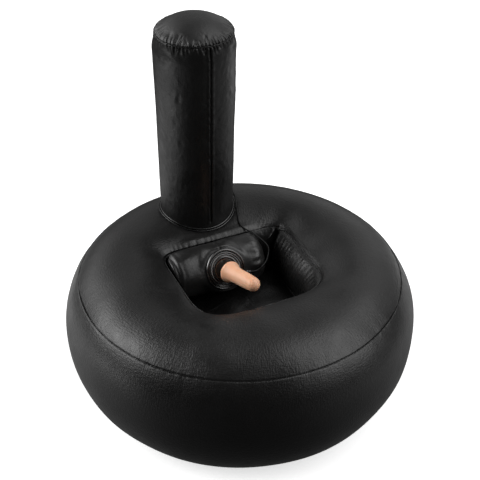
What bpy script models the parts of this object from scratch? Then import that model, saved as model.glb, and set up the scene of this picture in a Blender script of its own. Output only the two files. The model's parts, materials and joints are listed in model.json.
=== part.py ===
"""Inflatable round seat with a back column, a bolster in its well, a motor massager and a wired handset.

Metres, +Z up. The origin is on the floor under the seat's centre. The column stands towards +Y, the
well opens upwards in front of it, and +X is to the right of someone who faces the column.
"""

import math

import bmesh
import bpy
from mathutils import Matrix, Vector

# Film, working gaps and welds
SKIN = 0.0010
GAP = 0.0003
WELD = 0.0012
TRIM_REACH = 0.0030
TRIM_HALF = 0.0005
TRIM_TIP = 0.0004

# Seat, a flattened torus-like bag on a flat base
SEAT_RADIUS = 0.375
CONTACT_RADIUS = 0.242
EQUATOR_HEIGHT = 0.167
CREST_RADIUS = 0.246
CREST_HEIGHT = 0.317
LOWER_FULLNESS = 2.24
UPPER_FULLNESS = 2.23
SEAM_TURN = math.radians(45.0)
SEAM_CLEARANCE = 0.0065
SEAT_SIDES = 48

# Well in the seat, a rounded square
WELL_CENTRE_Y = -0.0155
WELL_HALF_WIDTH = 0.145
WELL_HALF_DEPTH = 0.1245
WELL_BACK_SQUARENESS = 6.0
WELL_FRONT_SQUARENESS = 4.5
RIM_HEIGHT = 0.290
WELL_FLOOR_HEIGHT = 0.188
FLOOR_CROWN = 0.005
WALL_SLOPE = 0.028
WALL_BULGE = 0.007
BACK_WALL_GIVE = 0.014
WELL_SIDES = 40
WALL_SHARES = (0.0, 0.18, 0.45, 0.75, 1.0)
CORNER_CROWDING = math.radians(8.0)
WALL_DROP = 0.0020
RIM_SECTION = ((0.0010, -0.0016), (0.0030, -0.0010), (0.0034, 0.0008), (0.0014, 0.0004))
TIE_X = 0.045
TIE_HALF = 0.085

# Column behind the well
COLUMN_X = -0.0055
COLUMN_Y = 0.2215
COLUMN_FOOT_HEIGHT = 0.309
COLUMN_LEAN = math.radians(1.66)
COLUMN_FOOT_RADIUS = 0.0806
COLUMN_HEAD_RADIUS = 0.0866
COLUMN_LENGTH = 0.4311
COLUMN_CROWN = 0.0305
CROWN_FULLNESS = 2.5
COLUMN_SINK = 0.012
CAP_TUCK = 0.0050
TUCK_RUN = 0.0370
COLUMN_SIDES = 32
FOOT_SECTION = ((0.0008, 0.0007), (0.0032, 0.0007), (0.0028, 0.0022), (0.0008, 0.0034))

# Bolster lying across the well
BOLSTER_Y = 0.080
BOLSTER_Z = 0.2435
BOLSTER_RADIUS = 0.054
BOLSTER_LEFT = -0.094
BOLSTER_RIGHT = 0.054
BOLSTER_LEFT_DOME = 0.034
BOLSTER_RIGHT_DOME = 0.034
DOME_FULLNESS = 2.3
DOME_SEAM_SHARE = 0.75
BOLSTER_SIDES = 28
PRESS_CLEARANCE = 0.0027
RIM_CLEARANCE = 0.0045
RIM_ZONE = 0.0100
RIM_FADE = 0.0070
FLOOR_CLEARANCE = 0.0009

# Collar on the bolster, on an axis raised from straight forward
COLLAR_X = -0.0202
COLLAR_LIFT = math.radians(24)
COLLAR_RADIUS = 0.0445
COLLAR_THROAT = 0.0244
COLLAR_WRAP = 0.35
COLLAR_UNDERSIDE = 0.0002
COLLAR_CLEARANCE = 0.0009
COLLAR_HOLD = 0.0170
COLLAR_FADE = 0.0120
FUNNEL_SLOPE = 0.02
SOCKET_RADIUS = 0.0195
SOCKET_DEPTH = 0.026

# Massager on its own axis, which starts at the collar's centre
MASSAGER_YAW = math.radians(11.0)
MASSAGER_RAISE = math.radians(12.6)
SLEEVE_START = 0.015
SLEEVE_END = 0.1161
SLEEVE_RADIUS = 0.0165
SLEEVE_BASE_RADIUS = 0.0235
BORE_RADIUS = 0.0103
BORE_DEPTH = 0.052
CORE_RADIUS = 0.0100
CORE_LENGTH = 0.0505
CORE_WALL = 0.0013
NECK_RADIUS = 0.0085
LEAD_CHANNEL_RADIUS = 0.0026
LEAD_RADIUS = 0.0006
LEAD_SPREAD = 0.0009
MOTOR_RADIUS = 0.0060
MOTOR_LENGTH = 0.0200
MOTOR_SETBACK = 0.0130
MOTOR_SKIN = 0.0005
SHAFT_RADIUS = 0.0009
WEIGHT_LENGTH = 0.0056
WEIGHT_OVERLAP = 0.0016

# Inflation valves
VALVE_BORE = 0.0042
VALVE_STEM = 0.0062
VALVE_FLANGE = 0.0150
VALVE_PAD = 0.0012
STEM_IN = 0.0140
STEM_OUT = 0.0022
PLUG_HEAD = 0.0070
FLAP_DROP = 0.0056
SEAT_VALVE_HEIGHT = EQUATOR_HEIGHT
COLUMN_VALVE_HEIGHT = 0.110

# Cable between the collar and the handset
CABLE_RADIUS = 0.00175
CABLE_POINTS = 78
CABLE_ROUTE = (
    (0.0350, 0.0210, 0.2492),
    (0.0470, 0.0218, 0.2462),
    (0.0563, 0.0228, 0.2480),
    (0.0650, 0.0250, 0.2520),
    (0.0790, 0.0350, 0.2545),
    (0.0895, 0.0470, 0.2620),
    (0.0935, 0.0535, 0.2705),
    (0.0925, 0.0610, 0.2780),
    (0.0855, 0.0740, 0.2855),
    (0.0777, 0.0865, 0.2915),
    (0.0712, 0.0985, 0.2945),
    (0.0640, 0.1105, 0.2965),
    (0.0592, 0.1210, 0.2995),
    (0.0592, 0.1330, 0.3025),
    (0.0630, 0.1480, 0.3072),
    (0.0690, 0.1660, 0.3125),
    (0.0745, 0.1830, 0.3160),
    (0.0838, 0.2060, 0.3185),
    (0.0880, 0.2300, 0.3200),
    (0.0900, 0.2520, 0.3195),
    (0.0985, 0.2760, 0.3150),
    (0.1125, 0.3010, 0.3040),
    (0.1282, 0.3238, 0.2790),
    (0.1405, 0.3380, 0.2400),
    (0.1480, 0.3460, 0.1950),
    (0.1510, 0.3490, 0.1500),
    (0.1520, 0.3505, 0.1000),
    (0.1525, 0.3520, 0.0550),
    (0.1515, 0.3545, 0.0240),
    (0.1460, 0.3590, 0.0080),
    (0.1330, 0.3650, 0.0022),
    (0.1130, 0.3700, 0.0020),
    (0.0900, 0.3660, 0.0020),
    (0.0650, 0.3560, 0.0020),
    (0.0400, 0.3470, 0.0020),
    (0.0150, 0.3450, 0.0020),
    (-0.0100, 0.3490, 0.0020),
    (-0.0350, 0.3500, 0.0024),
    (-0.0560, 0.3440, 0.0050),
    (-0.0720, 0.3385, 0.0095),
    (-0.0850, 0.3370, 0.0120),
)

# Handset on the floor behind the seat
HANDSET_X = -0.158
HANDSET_Y = 0.337
HANDSET_LENGTH = 0.100
HANDSET_WIDTH = 0.046
HANDSET_HEIGHT = 0.024
HANDSET_WALL = 0.0018
HANDSET_SPLIT = 0.012
DIAL_X = HANDSET_X + 0.028
LENS_X = HANDSET_X + 0.003
CELL_START_X = HANDSET_X - 0.0448
DOOR_X = HANDSET_X - 0.0220
DOOR_LENGTH = 0.0504
DOOR_WIDTH = 0.0316
DOOR_RUN_OUT = 0.0080
DIAL_HEIGHT = 0.0085
BATTERY_RADIUS = 0.0070
BATTERY_LENGTH = 0.0480
BATTERY_PITCH = 0.0148
CELL_HEIGHT = 0.0102
DIAL_RADIUS = 0.0140
DIAL_FLUTES = 14
SHAFT_SEAT = 0.0175
POST_RISE = 0.0010
SCREW_PLACES = ((HANDSET_X + 0.043, HANDSET_Y - 0.017), (HANDSET_X + 0.043, HANDSET_Y + 0.017))

FINISHES = {
    "pvc": ((0.012, 0.012, 0.013), 0.34, 0.0),
    "weld": ((0.018, 0.018, 0.019), 0.22, 0.0),
    "rubber": ((0.010, 0.010, 0.010), 0.30, 0.0),
    "silicone": ((0.86, 0.52, 0.38), 0.42, 0.0),
    "grey_plastic": ((0.45, 0.45, 0.46), 0.25, 0.0),
    "black_plastic": ((0.020, 0.020, 0.022), 0.45, 0.0),
    "clear_vinyl": ((0.035, 0.035, 0.038), 0.30, 0.0),
    "steel": ((0.55, 0.55, 0.57), 0.30, 1.0),
    "brass": ((0.62, 0.45, 0.20), 0.35, 1.0),
    "copper_wire": ((0.45, 0.05, 0.04), 0.45, 0.0),
    "board": ((0.02, 0.16, 0.07), 0.50, 0.0),
    "cell": ((0.30, 0.31, 0.33), 0.40, 0.0),
    "lens": ((0.60, 0.04, 0.03), 0.15, 0.0),
    "cable": ((0.012, 0.012, 0.012), 0.40, 0.0),
}


def clear_scene():
    for obj in list(bpy.data.objects):
        bpy.data.objects.remove(obj, do_unlink=True)


def new_collection(name):
    collection = bpy.data.collections.new(name)
    bpy.context.scene.collection.children.link(collection)
    return collection


def material_for(name, finish):
    colour, roughness, metallic = FINISHES[finish]
    material = bpy.data.materials.new(name + "_finish")
    material.use_nodes = True
    shader = material.node_tree.nodes["Principled BSDF"]
    shader.inputs["Base Color"].default_value = (*colour, 1.0)
    shader.inputs["Roughness"].default_value = roughness
    shader.inputs["Metallic"].default_value = metallic
    return material


def empty_at(name, location, rotation=(0.0, 0.0, 0.0), parent=None):
    empty = bpy.data.objects.new(name, None)
    empty.location = location
    empty.rotation_euler = rotation
    empty.parent = parent
    PARTS.objects.link(empty)
    return empty


def place(name, data, finish, location=(0, 0, 0), rotation=(0, 0, 0), parent=None):
    """Link one finished piece; a finish of None makes it a cutter."""
    obj = bpy.data.objects.new(name, data)
    obj.location = location
    obj.rotation_euler = rotation
    obj.parent = parent
    if finish is None:
        obj.hide_render = True
        obj.display_type = "WIRE"
        CUTTERS.objects.link(obj)
    else:
        data.materials.append(material_for(name, finish))
        PARTS.objects.link(obj)
    return obj


def shade_round(mesh, degrees=40):
    mesh.shade_smooth()
    mesh.set_sharp_from_angle(angle=math.radians(degrees))


def realise(obj):
    """Turn an object's curve or modifiers into plain mesh points that can be moved."""
    bpy.context.view_layer.update()
    evaluated = obj.evaluated_get(bpy.context.evaluated_depsgraph_get())
    mesh = bpy.data.meshes.new_from_object(evaluated)
    bm = bmesh.new()
    bm.from_mesh(mesh)
    bmesh.ops.remove_doubles(bm, verts=bm.verts, dist=1e-6)
    bm.to_mesh(mesh)
    bm.free()
    if obj.type == "MESH":
        obj.modifiers.clear()
        obj.data = mesh
        return obj
    solid = bpy.data.objects.new(obj.name, mesh)
    solid.location = obj.location
    solid.rotation_euler = obj.rotation_euler
    solid.parent = obj.parent
    solid.hide_render = obj.hide_render
    solid.display_type = obj.display_type
    obj.users_collection[0].objects.link(solid)
    name = obj.name
    bpy.data.objects.remove(obj, do_unlink=True)
    solid.name = name
    return solid


def signed_area(loop):
    return 0.5 * sum(a[0] * b[1] - b[0] * a[1] for a, b in zip(loop, loop[1:] + loop[:1]))


def turned(name, profile, finish, sides=24, closed=False, **where):
    """A turned solid. The profile is (radius, height) points down the outer side, or one closed loop."""
    points = list(profile)
    if closed and signed_area(points) > 0:
        points.reverse()
    mesh = bpy.data.meshes.new(name)
    edges = [(i, i + 1) for i in range(len(points) - 1)]
    if closed:
        edges.append((len(points) - 1, 0))
    mesh.from_pydata([(r, 0.0, z) for r, z in points], edges, [])
    obj = place(name, mesh, finish, **where)
    screw = obj.modifiers.new("turn", "SCREW")
    screw.steps = sides
    screw.render_steps = sides
    screw.use_merge_vertices = True
    screw.merge_threshold = 1e-6
    screw.use_smooth_shade = True
    return obj


def thicken(obj, thickness=SKIN):
    shell = obj.modifiers.new("skin", "SOLIDIFY")
    shell.thickness = thickness
    shell.offset = -1.0
    shell.use_even_offset = True
    return obj


def lofted(name, rings, finish, close_start=False, close_end=False, **where):
    """Rings of equally many points joined by faces; rings that run counter-clockwise face outwards."""
    bm = bmesh.new()
    rows = [[bm.verts.new(p) for p in ring] for ring in rings]
    count = len(rows[0])
    for low, high in zip(rows, rows[1:]):
        for i in range(count):
            j = (i + 1) % count
            bm.faces.new((low[i], low[j], high[j], high[i]))
    if close_start:
        bm.faces.new(list(reversed(rows[0])))
    if close_end:
        bm.faces.new(rows[-1])
    mesh = bpy.data.meshes.new(name)
    bm.to_mesh(mesh)
    bm.free()
    shade_round(mesh)
    return place(name, mesh, finish, **where)


def welded_ring(name, sections, finish, **where):
    """A closed ring from one small closed section for each station round it."""
    bm = bmesh.new()
    rows = [[bm.verts.new(p) for p in section] for section in sections]
    for here, there in zip(rows, rows[1:] + rows[:1]):
        for i in range(len(here)):
            j = (i + 1) % len(here)
            bm.faces.new((here[i], here[j], there[j], there[i]))
    bmesh.ops.recalc_face_normals(bm, faces=bm.faces)
    mesh = bpy.data.meshes.new(name)
    bm.to_mesh(mesh)
    bm.free()
    shade_round(mesh, 60)
    return place(name, mesh, finish, **where)


def block(name, size, finish, corner=0.0, edge=0.0, corner_steps=3, **where):
    """A box with rounded upright corners and softened top and bottom edges."""
    bm = bmesh.new()
    bmesh.ops.create_cube(bm, size=1.0, matrix=Matrix.Diagonal((*size, 1.0)))
    if corner:
        upright = [e for e in bm.edges if abs(e.verts[0].co.z - e.verts[1].co.z) > size[2] / 2]
        bmesh.ops.bevel(bm, geom=upright, offset=corner, segments=corner_steps, profile=0.5, affect="EDGES")
    if edge:
        flat = [e for e in bm.edges if abs(e.verts[0].co.z - e.verts[1].co.z) < 1e-7]
        bmesh.ops.bevel(bm, geom=flat, offset=edge, segments=2, profile=0.5, affect="EDGES")
    mesh = bpy.data.meshes.new(name)
    bm.to_mesh(mesh)
    bm.free()
    shade_round(mesh)
    return place(name, mesh, finish, **where)


def rod(name, radius, length, finish, sides=16, **where):
    """A plain cylinder that stands on its own origin, along local Z."""
    bm = bmesh.new()
    lift = Matrix.Translation((0, 0, length / 2))
    bmesh.ops.create_cone(
        bm, cap_ends=True, segments=sides, radius1=radius, radius2=radius, depth=length, matrix=lift
    )
    mesh = bpy.data.meshes.new(name)
    bm.to_mesh(mesh)
    bm.free()
    shade_round(mesh)
    return place(name, mesh, finish, **where)


def wire(name, points, radius, finish, resolution=2, parent=None):
    """A round wire through the given points, with filled ends."""
    curve = bpy.data.curves.new(name, "CURVE")
    curve.dimensions = "3D"
    curve.bevel_depth = radius
    curve.bevel_resolution = resolution
    curve.use_fill_caps = True
    spline = curve.splines.new("POLY")
    spline.points.add(len(points) - 1)
    for point, at in zip(spline.points, points):
        point.co = (*at, 1.0)
    return place(name, curve, finish, parent=parent)


def smooth_route(route, count):
    """Evenly spaced points on the smooth curve that passes through the route's own points."""
    knots = [Vector(p) for p in route]
    padded = [2 * knots[0] - knots[1], *knots, 2 * knots[-1] - knots[-2]]
    fine = []
    steps = 16
    for a, b, c, d in zip(padded, padded[1:], padded[2:], padded[3:]):
        for i in range(steps):
            t = i / steps
            fine.append(
                b + 0.5 * ((c - a) * t + (2 * a - 5 * b + 4 * c - d) * t**2 + (3 * b - a - 3 * c + d) * t**3)
            )
    fine.append(knots[-1])
    run = [0.0]
    for a, b in zip(fine, fine[1:]):
        run.append(run[-1] + (b - a).length)
    spaced = []
    k = 0
    for i in range(count):
        want = run[-1] * i / (count - 1)
        while k < len(run) - 2 and run[k + 1] < want:
            k += 1
        share = (want - run[k]) / (run[k + 1] - run[k])
        spaced.append(fine[k].lerp(fine[k + 1], share))
    return spaced, run[-1]


def cut(obj, cutter, operation="DIFFERENCE"):
    boolean = obj.modifiers.new("cut", "BOOLEAN")
    boolean.operation = operation
    boolean.solver = "EXACT"
    boolean.object = cutter
    return obj


def ease(x):
    """A smooth step from 0 to 1."""
    x = min(max(x, 0.0), 1.0)
    return x * x * (3 - 2 * x)


def power_turn(angle, fullness):
    return math.cos(angle) ** (2 / fullness), math.sin(angle) ** (2 / fullness)


def lower_side(turn):
    """Seat profile from the floor contact (0) to the equator (a quarter turn)."""
    across, up = power_turn(math.pi / 2 - turn, LOWER_FULLNESS)
    radius = CONTACT_RADIUS + (SEAT_RADIUS - CONTACT_RADIUS) * across
    return radius, EQUATOR_HEIGHT * (1 - up)


def upper_side(turn):
    """Seat profile from the equator (0) to the crest (a quarter turn)."""
    across, up = power_turn(turn, UPPER_FULLNESS)
    radius = CREST_RADIUS + (SEAT_RADIUS - CREST_RADIUS) * across
    return radius, EQUATOR_HEIGHT + (CREST_HEIGHT - EQUATOR_HEIGHT) * up


def well_outline(angle, side_inset=0.0, front_inset=0.0, back_inset=0.0):
    """A point of the well's rounded outline, round the well's own centre."""
    across, along = math.cos(angle), math.sin(angle)
    half_width = WELL_HALF_WIDTH - side_inset
    if along >= 0:
        half_depth, squareness = WELL_HALF_DEPTH - back_inset, WELL_BACK_SQUARENESS
    else:
        half_depth, squareness = WELL_HALF_DEPTH - front_inset, WELL_FRONT_SQUARENESS
    total = abs(across / half_width) ** squareness + abs(along / half_depth) ** squareness
    reach = total ** (-1 / squareness)
    return reach * across, WELL_CENTRE_Y + reach * along


def wall_insets(share):
    """How far the well's side, front and back walls stand in at a share of the way down."""
    bulge = math.sin(math.pi * share)
    side = WALL_SLOPE * share + WALL_BULGE * bulge
    back = -BACK_WALL_GIVE * bulge
    return side, side, back


def top_point(angle, share):
    """A point of the seat top between the crest (0) and the well's rim (1)."""
    rim_x, rim_y = well_outline(angle)
    crest_x, crest_y = CREST_RADIUS * math.cos(angle), CREST_RADIUS * math.sin(angle)
    height = CREST_HEIGHT - (CREST_HEIGHT - RIM_HEIGHT) * share**1.8
    return crest_x + (rim_x - crest_x) * share, crest_y + (rim_y - crest_y) * share, height


def seat_top_height(x, y):
    """Height of the seat's upper surface over a floor position outside the well."""
    radius = math.hypot(x, y)
    if radius >= CREST_RADIUS:
        across = (radius - CREST_RADIUS) / (SEAT_RADIUS - CREST_RADIUS)
        turn = math.acos(min(across, 1.0) ** (UPPER_FULLNESS / 2))
        return upper_side(turn)[1]
    angle = math.atan2(y, x)
    share = 0.0
    for _ in range(30):
        rim = Vector(well_outline(angle))
        crest = Vector((CREST_RADIUS * math.cos(angle), CREST_RADIUS * math.sin(angle)))
        way = rim - crest
        share = min(max((Vector((x, y)) - crest).dot(way) / way.length_squared, 0.0), 1.0)
        angle = math.atan2(y - WELL_CENTRE_Y * share, x)
    return top_point(angle, share)[2]


def seat_side_reach(height):
    """Radius of the seat's outer side at a height."""
    if height >= EQUATOR_HEIGHT:
        up = (height - EQUATOR_HEIGHT) / (CREST_HEIGHT - EQUATOR_HEIGHT)
        return upper_side(math.asin(up ** (UPPER_FULLNESS / 2)))[0]
    down = height / EQUATOR_HEIGHT
    return lower_side(math.acos((1 - down) ** (LOWER_FULLNESS / 2)))[0]


def round_angles(count):
    return [2 * math.pi * i / count for i in range(count)]


def circle(radius, height, count):
    return [(radius * math.cos(a), radius * math.sin(a), height) for a in round_angles(count)]


def crowded(angle, share=1.0):
    """Draw evenly spaced angles towards the well's four corners."""
    return angle + CORNER_CROWDING * share * math.sin(4 * angle)


def seat_base_panel():
    lip = CONTACT_RADIUS - GAP
    return turned("seat_base_panel", [(0, WELD), (lip, WELD), (lip, 0), (0, 0)], "pvc", SEAT_SIDES)


def seat_side_panel():
    seam = SEAM_TURN - SEAM_CLEARANCE
    upper = [upper_side(seam * i / 3) for i in (3, 2, 1)]
    lower = [lower_side(math.radians(a)) for a in (90, 64, 42, 20, 0)]
    return thicken(turned("seat_side_panel", upper + lower, "pvc", SEAT_SIDES))


def seat_top_panel():
    rings = []
    seam = SEAM_TURN + SEAM_CLEARANCE
    for part in (0, 0.34, 0.67, 1):
        radius, height = upper_side(seam + (math.pi / 2 - seam) * part)
        rings.append(circle(radius, height, SEAT_SIDES))
    for share in (0.35, 0.65, 0.86, 1.0):
        rings.append([top_point(crowded(a, share), share) for a in round_angles(SEAT_SIDES)])
    return thicken(lofted("seat_top_panel", rings, "pvc"))


def outer_seam_weld():
    """The trimmed edge of the weld that joins the top and side panels."""
    seam = Vector(upper_side(SEAM_TURN))
    along = (Vector(upper_side(SEAM_TURN + 0.01)) - Vector(upper_side(SEAM_TURN - 0.01))).normalized()
    out = Vector((along.y, -along.x))
    half_section = ((-SKIN, TRIM_HALF), (TRIM_REACH, TRIM_TIP))
    section = [tuple(seam + out * reach + along * half) for reach, half in half_section]
    section += [tuple(seam + out * reach - along * half) for reach, half in reversed(half_section)]
    return turned("outer_seam_weld", section, "weld", SEAT_SIDES, closed=True)


def well_wall():
    rings = []
    top, foot = RIM_HEIGHT - WALL_DROP, WELL_FLOOR_HEIGHT + WELD
    for share in WALL_SHARES:
        insets = [inset + 2 * GAP for inset in wall_insets(share)]
        height = top + (foot - top) * share
        rings.append([(*well_outline(crowded(a), *insets), height) for a in round_angles(WELL_SIDES)])
    return thicken(lofted("well_wall", rings, "pvc"))


def well_rim_weld():
    """The trimmed edge of the weld between the seat top and the well's wall."""
    sections = []
    for angle in round_angles(WELL_SIDES):
        section = []
        for inset, height in RIM_SECTION:
            section.append((*well_outline(crowded(angle), inset, inset, inset), RIM_HEIGHT + height))
        sections.append(section)
    return welded_ring("well_rim_weld", sections, "weld")


def floor_height(x, y):
    """Height of the well's crowned floor."""
    foot_width = WELL_HALF_WIDTH - WALL_SLOPE
    foot_depth = WELL_HALF_DEPTH - WALL_SLOPE / 2
    off_centre = (x / foot_width) ** 2 + ((y - WELL_CENTRE_Y) / foot_depth) ** 2
    return WELL_FLOOR_HEIGHT + FLOOR_CROWN * max(1 - off_centre, 0.0)


def well_floor():
    rings = []
    insets = [inset + SKIN for inset in wall_insets(1.0)]
    for share in (1.0, 0.55, 0.12):
        ring = []
        for angle in round_angles(WELL_SIDES):
            x, y = well_outline(crowded(angle), *insets)
            x, y = x * share, WELL_CENTRE_Y + (y - WELL_CENTRE_Y) * share
            ring.append((x, y, floor_height(x, y)))
        rings.append(ring)
    return thicken(lofted("well_floor", rings, "pvc", close_end=True))


def floor_tie(name, x):
    """An upright strip inside the seat that holds the well's floor down to the base."""
    stations = 7
    left, right, low = x - WELD / 2, x + WELD / 2, WELD + GAP
    rows = []
    for i in range(stations):
        y = WELL_CENTRE_Y - TIE_HALF + 2 * TIE_HALF * i / (stations - 1)
        top = floor_height(x, y) - SKIN - 2 * GAP
        rows.append([(left, y, low), (right, y, low), (right, y, top), (left, y, top)])
    return lofted(name, [list(reversed(row)) for row in rows], "pvc", close_start=True, close_end=True)


def column_radius(height):
    return COLUMN_FOOT_RADIUS + (COLUMN_HEAD_RADIUS - COLUMN_FOOT_RADIUS) * height / COLUMN_LENGTH


def column_wall(axis):
    rings = []
    tucked = [COLUMN_LENGTH - TUCK_RUN * share for share in (1.0, 0.45, 0.0)]
    for height in [-COLUMN_SINK, 0.01, COLUMN_VALVE_HEIGHT, 0.30] + tucked:
        tuck = CAP_TUCK * ease((height - COLUMN_LENGTH + TUCK_RUN) / TUCK_RUN)
        radius = column_radius(height) - tuck
        rings.append(circle(radius, height, COLUMN_SIDES))
    return thicken(lofted("column_wall", rings, "pvc", parent=axis))


def column_cap(axis):
    edge = column_radius(COLUMN_LENGTH) - CAP_TUCK
    rings = []
    for share in (1.0, 0.87, 0.66, 0.38, 0.12):
        height = COLUMN_LENGTH + SKIN + 2 * GAP + COLUMN_CROWN * (1 - share**CROWN_FULLNESS)
        rings.append(circle(edge * share, height, COLUMN_SIDES))
    return thicken(lofted("column_cap", rings, "pvc", close_end=True, parent=axis))


def column_cap_weld(axis):
    edge = column_radius(COLUMN_LENGTH) - CAP_TUCK + 2 * GAP
    low, high = COLUMN_LENGTH + GAP, COLUMN_LENGTH + WELD
    section = [(edge, low), (edge + 0.0022, low), (edge + 0.0022, high), (edge, high)]
    return turned("column_cap_weld", section, "weld", COLUMN_SIDES, closed=True, parent=axis)


def column_base_panel(axis):
    edge = column_radius(0) - SKIN - 2 * GAP
    top, low = -COLUMN_SINK + WELD + GAP, -COLUMN_SINK + GAP
    section = [(0, top), (edge, top), (edge, low), (0, low)]
    return turned("column_base_panel", section, "pvc", COLUMN_SIDES, parent=axis)


def column_base_weld():
    """A flat bead that follows the seat top round the column's foot."""
    sections = []
    lean = -math.tan(COLUMN_LEAN)
    for angle in round_angles(COLUMN_SIDES):
        section = []
        for out, up in FOOT_SECTION:
            radius = COLUMN_FOOT_RADIUS + out
            x, y = COLUMN_X + radius * math.cos(angle), COLUMN_Y + radius * math.sin(angle)
            height = seat_top_height(x, y) + up
            section.append((x, y + lean * (height - COLUMN_FOOT_HEIGHT), height))
        sections.append(section)
    return welded_ring("column_base_weld", sections, "weld")


def bolster_dome(x):
    """Radius of the bolster's free shape at a place along its length."""
    if x > BOLSTER_RIGHT:
        out = (x - BOLSTER_RIGHT) / BOLSTER_RIGHT_DOME
    elif x < BOLSTER_LEFT:
        out = (BOLSTER_LEFT - x) / BOLSTER_LEFT_DOME
    else:
        out = 0.0
    return BOLSTER_RADIUS * max(1 - out**DOME_FULLNESS, 0.0) ** (1 / DOME_FULLNESS)


def faceted_insets(height):
    """How far the side and back walls stand in at a height, read along the wall's own straight facets."""
    share = min(max((RIM_HEIGHT - height) / (RIM_HEIGHT - WELL_FLOOR_HEIGHT), 0.0), 1.0)
    above = max(i for i, s in enumerate(WALL_SHARES[:-1]) if s <= share)
    first, last = WALL_SHARES[above], WALL_SHARES[above + 1]
    way = (share - first) / (last - first)
    upper, lower = wall_insets(first), wall_insets(last)
    side, _, back = [a + (b - a) * way for a, b in zip(upper, lower)]
    return side, back


def pressed(x, y, height):
    """Move a point of the bolster back inside the well's wall and floor, less a working clearance."""
    side, back = faceted_insets(height)
    clearance = PRESS_CLEARANCE + RIM_CLEARANCE * ease((height - RIM_HEIGHT + RIM_ZONE) / RIM_FADE)
    half_width = WELL_HALF_WIDTH - side - clearance
    half_depth = WELL_HALF_DEPTH - back - clearance
    power = WELL_BACK_SQUARENESS
    along = y - WELL_CENTRE_Y
    across = min(abs(x) / half_width, 0.9)
    along = min(along, half_depth * (1 - across**power) ** (1 / power))
    if along > 0:
        excess = ((abs(x) / half_width) ** power + (along / half_depth) ** power) ** (1 / power)
        if excess > 1:
            x, along = x / excess, along / excess
    y = WELL_CENTRE_Y + along
    return x, y, max(height, floor_height(x, y) + FLOOR_CLEARANCE)


def collar_drop(across):
    """How far the collar's rim falls back where it wraps over the bolster."""
    return COLLAR_WRAP * (BOLSTER_RADIUS - math.sqrt(BOLSTER_RADIUS**2 - across**2))


def bolster_point(x, angle):
    """A point of the bolster's skin: its free shape, drawn up to the collar and pressed by the well."""
    radius = bolster_dome(x)
    offset = Vector((radius * math.cos(angle), radius * math.sin(angle)))
    outward = Vector((-math.cos(COLLAR_LIFT), math.sin(COLLAR_LIFT)))
    upward = Vector((math.sin(COLLAR_LIFT), math.cos(COLLAR_LIFT)))
    across, out = offset.dot(upward), offset.dot(outward)
    spread = math.hypot(x - COLLAR_X, across)
    if out > 0:
        reach = min(abs(across), COLLAR_RADIUS)
        seat = BOLSTER_RADIUS - collar_drop(reach) - COLLAR_CLEARANCE
        hold = ease((COLLAR_RADIUS + COLLAR_HOLD - spread) / COLLAR_FADE)
        out += (seat - out) * hold
    y = BOLSTER_Y + across * upward.x + out * outward.x
    z = BOLSTER_Z + across * upward.y + out * outward.y
    return pressed(x, y, z)


def seam_place(start, depth):
    """Distance along the bolster's end dome at which its end panel is welded on."""
    return depth * (1 - DOME_SEAM_SHARE**DOME_FULLNESS) ** (1 / DOME_FULLNESS) + start


def bolster_seams():
    right = seam_place(BOLSTER_RIGHT, BOLSTER_RIGHT_DOME)
    left = -seam_place(-BOLSTER_LEFT, BOLSTER_LEFT_DOME)
    return left, right


def bolster_wall(collar):
    left, right = bolster_seams()
    stations = [left, -0.106, -0.092, -0.078, -0.064, -0.050, -0.030, -0.010, 0.010]
    stations += [0.024, 0.038, 0.054, 0.068, right]
    rings = [[bolster_point(x, a) for a in round_angles(BOLSTER_SIDES)] for x in stations]
    wall = thicken(lofted("bolster_wall", rings, "pvc"))
    mouth = rod("collar_hole_cutter", COLLAR_THROAT + 0.0002, 0.040, None, 24, parent=collar)
    mouth.location = (0, 0, -0.030)
    return cut(wall, mouth)


def bolster_end(name, seam, start, depth, sign):
    """The rounded end panel between its seam and the bolster's tip."""
    tip = start + sign * depth
    places = [seam + sign * SKIN] + [seam + (tip - seam) * share for share in (0.5, 0.985)]
    rings = [[bolster_point(x, a) for a in round_angles(BOLSTER_SIDES)] for x in places]
    if sign < 0:
        rings.reverse()
    return thicken(lofted(name, rings, "pvc", close_start=sign < 0, close_end=sign > 0))


def collar_flange(collar):
    """Concentric beads and a finely ribbed band that fall towards the throat like a shallow funnel."""
    beads = (
        (COLLAR_RADIUS, 0.0016), (0.0432, 0.0036), (0.0410, 0.0030), (0.0400, 0.0014), (0.0388, 0.0014),
        (0.0376, 0.0029), (0.0358, 0.0026), (0.0348, 0.0010), (0.0332, 0.0017), (0.0322, 0.0010),
        (0.0312, 0.0017), (0.0302, 0.0010), (0.0290, 0.0010), (0.0276, 0.0024), (COLLAR_THROAT, 0.0014),
    )
    top = [(r, h - FUNNEL_SLOPE * (COLLAR_RADIUS - r)) for r, h in beads]
    inner, outer = COLLAR_THROAT, COLLAR_RADIUS - COLLAR_UNDERSIDE
    section = top + [(inner, COLLAR_UNDERSIDE), (outer, COLLAR_UNDERSIDE)]
    flange = turned("collar_flange", section, "rubber", 32, closed=True, parent=collar)
    flange = realise(flange)
    for vertex in flange.data.vertices:
        vertex.co.z -= collar_drop(min(abs(vertex.co.y), COLLAR_RADIUS))
    return flange


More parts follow.
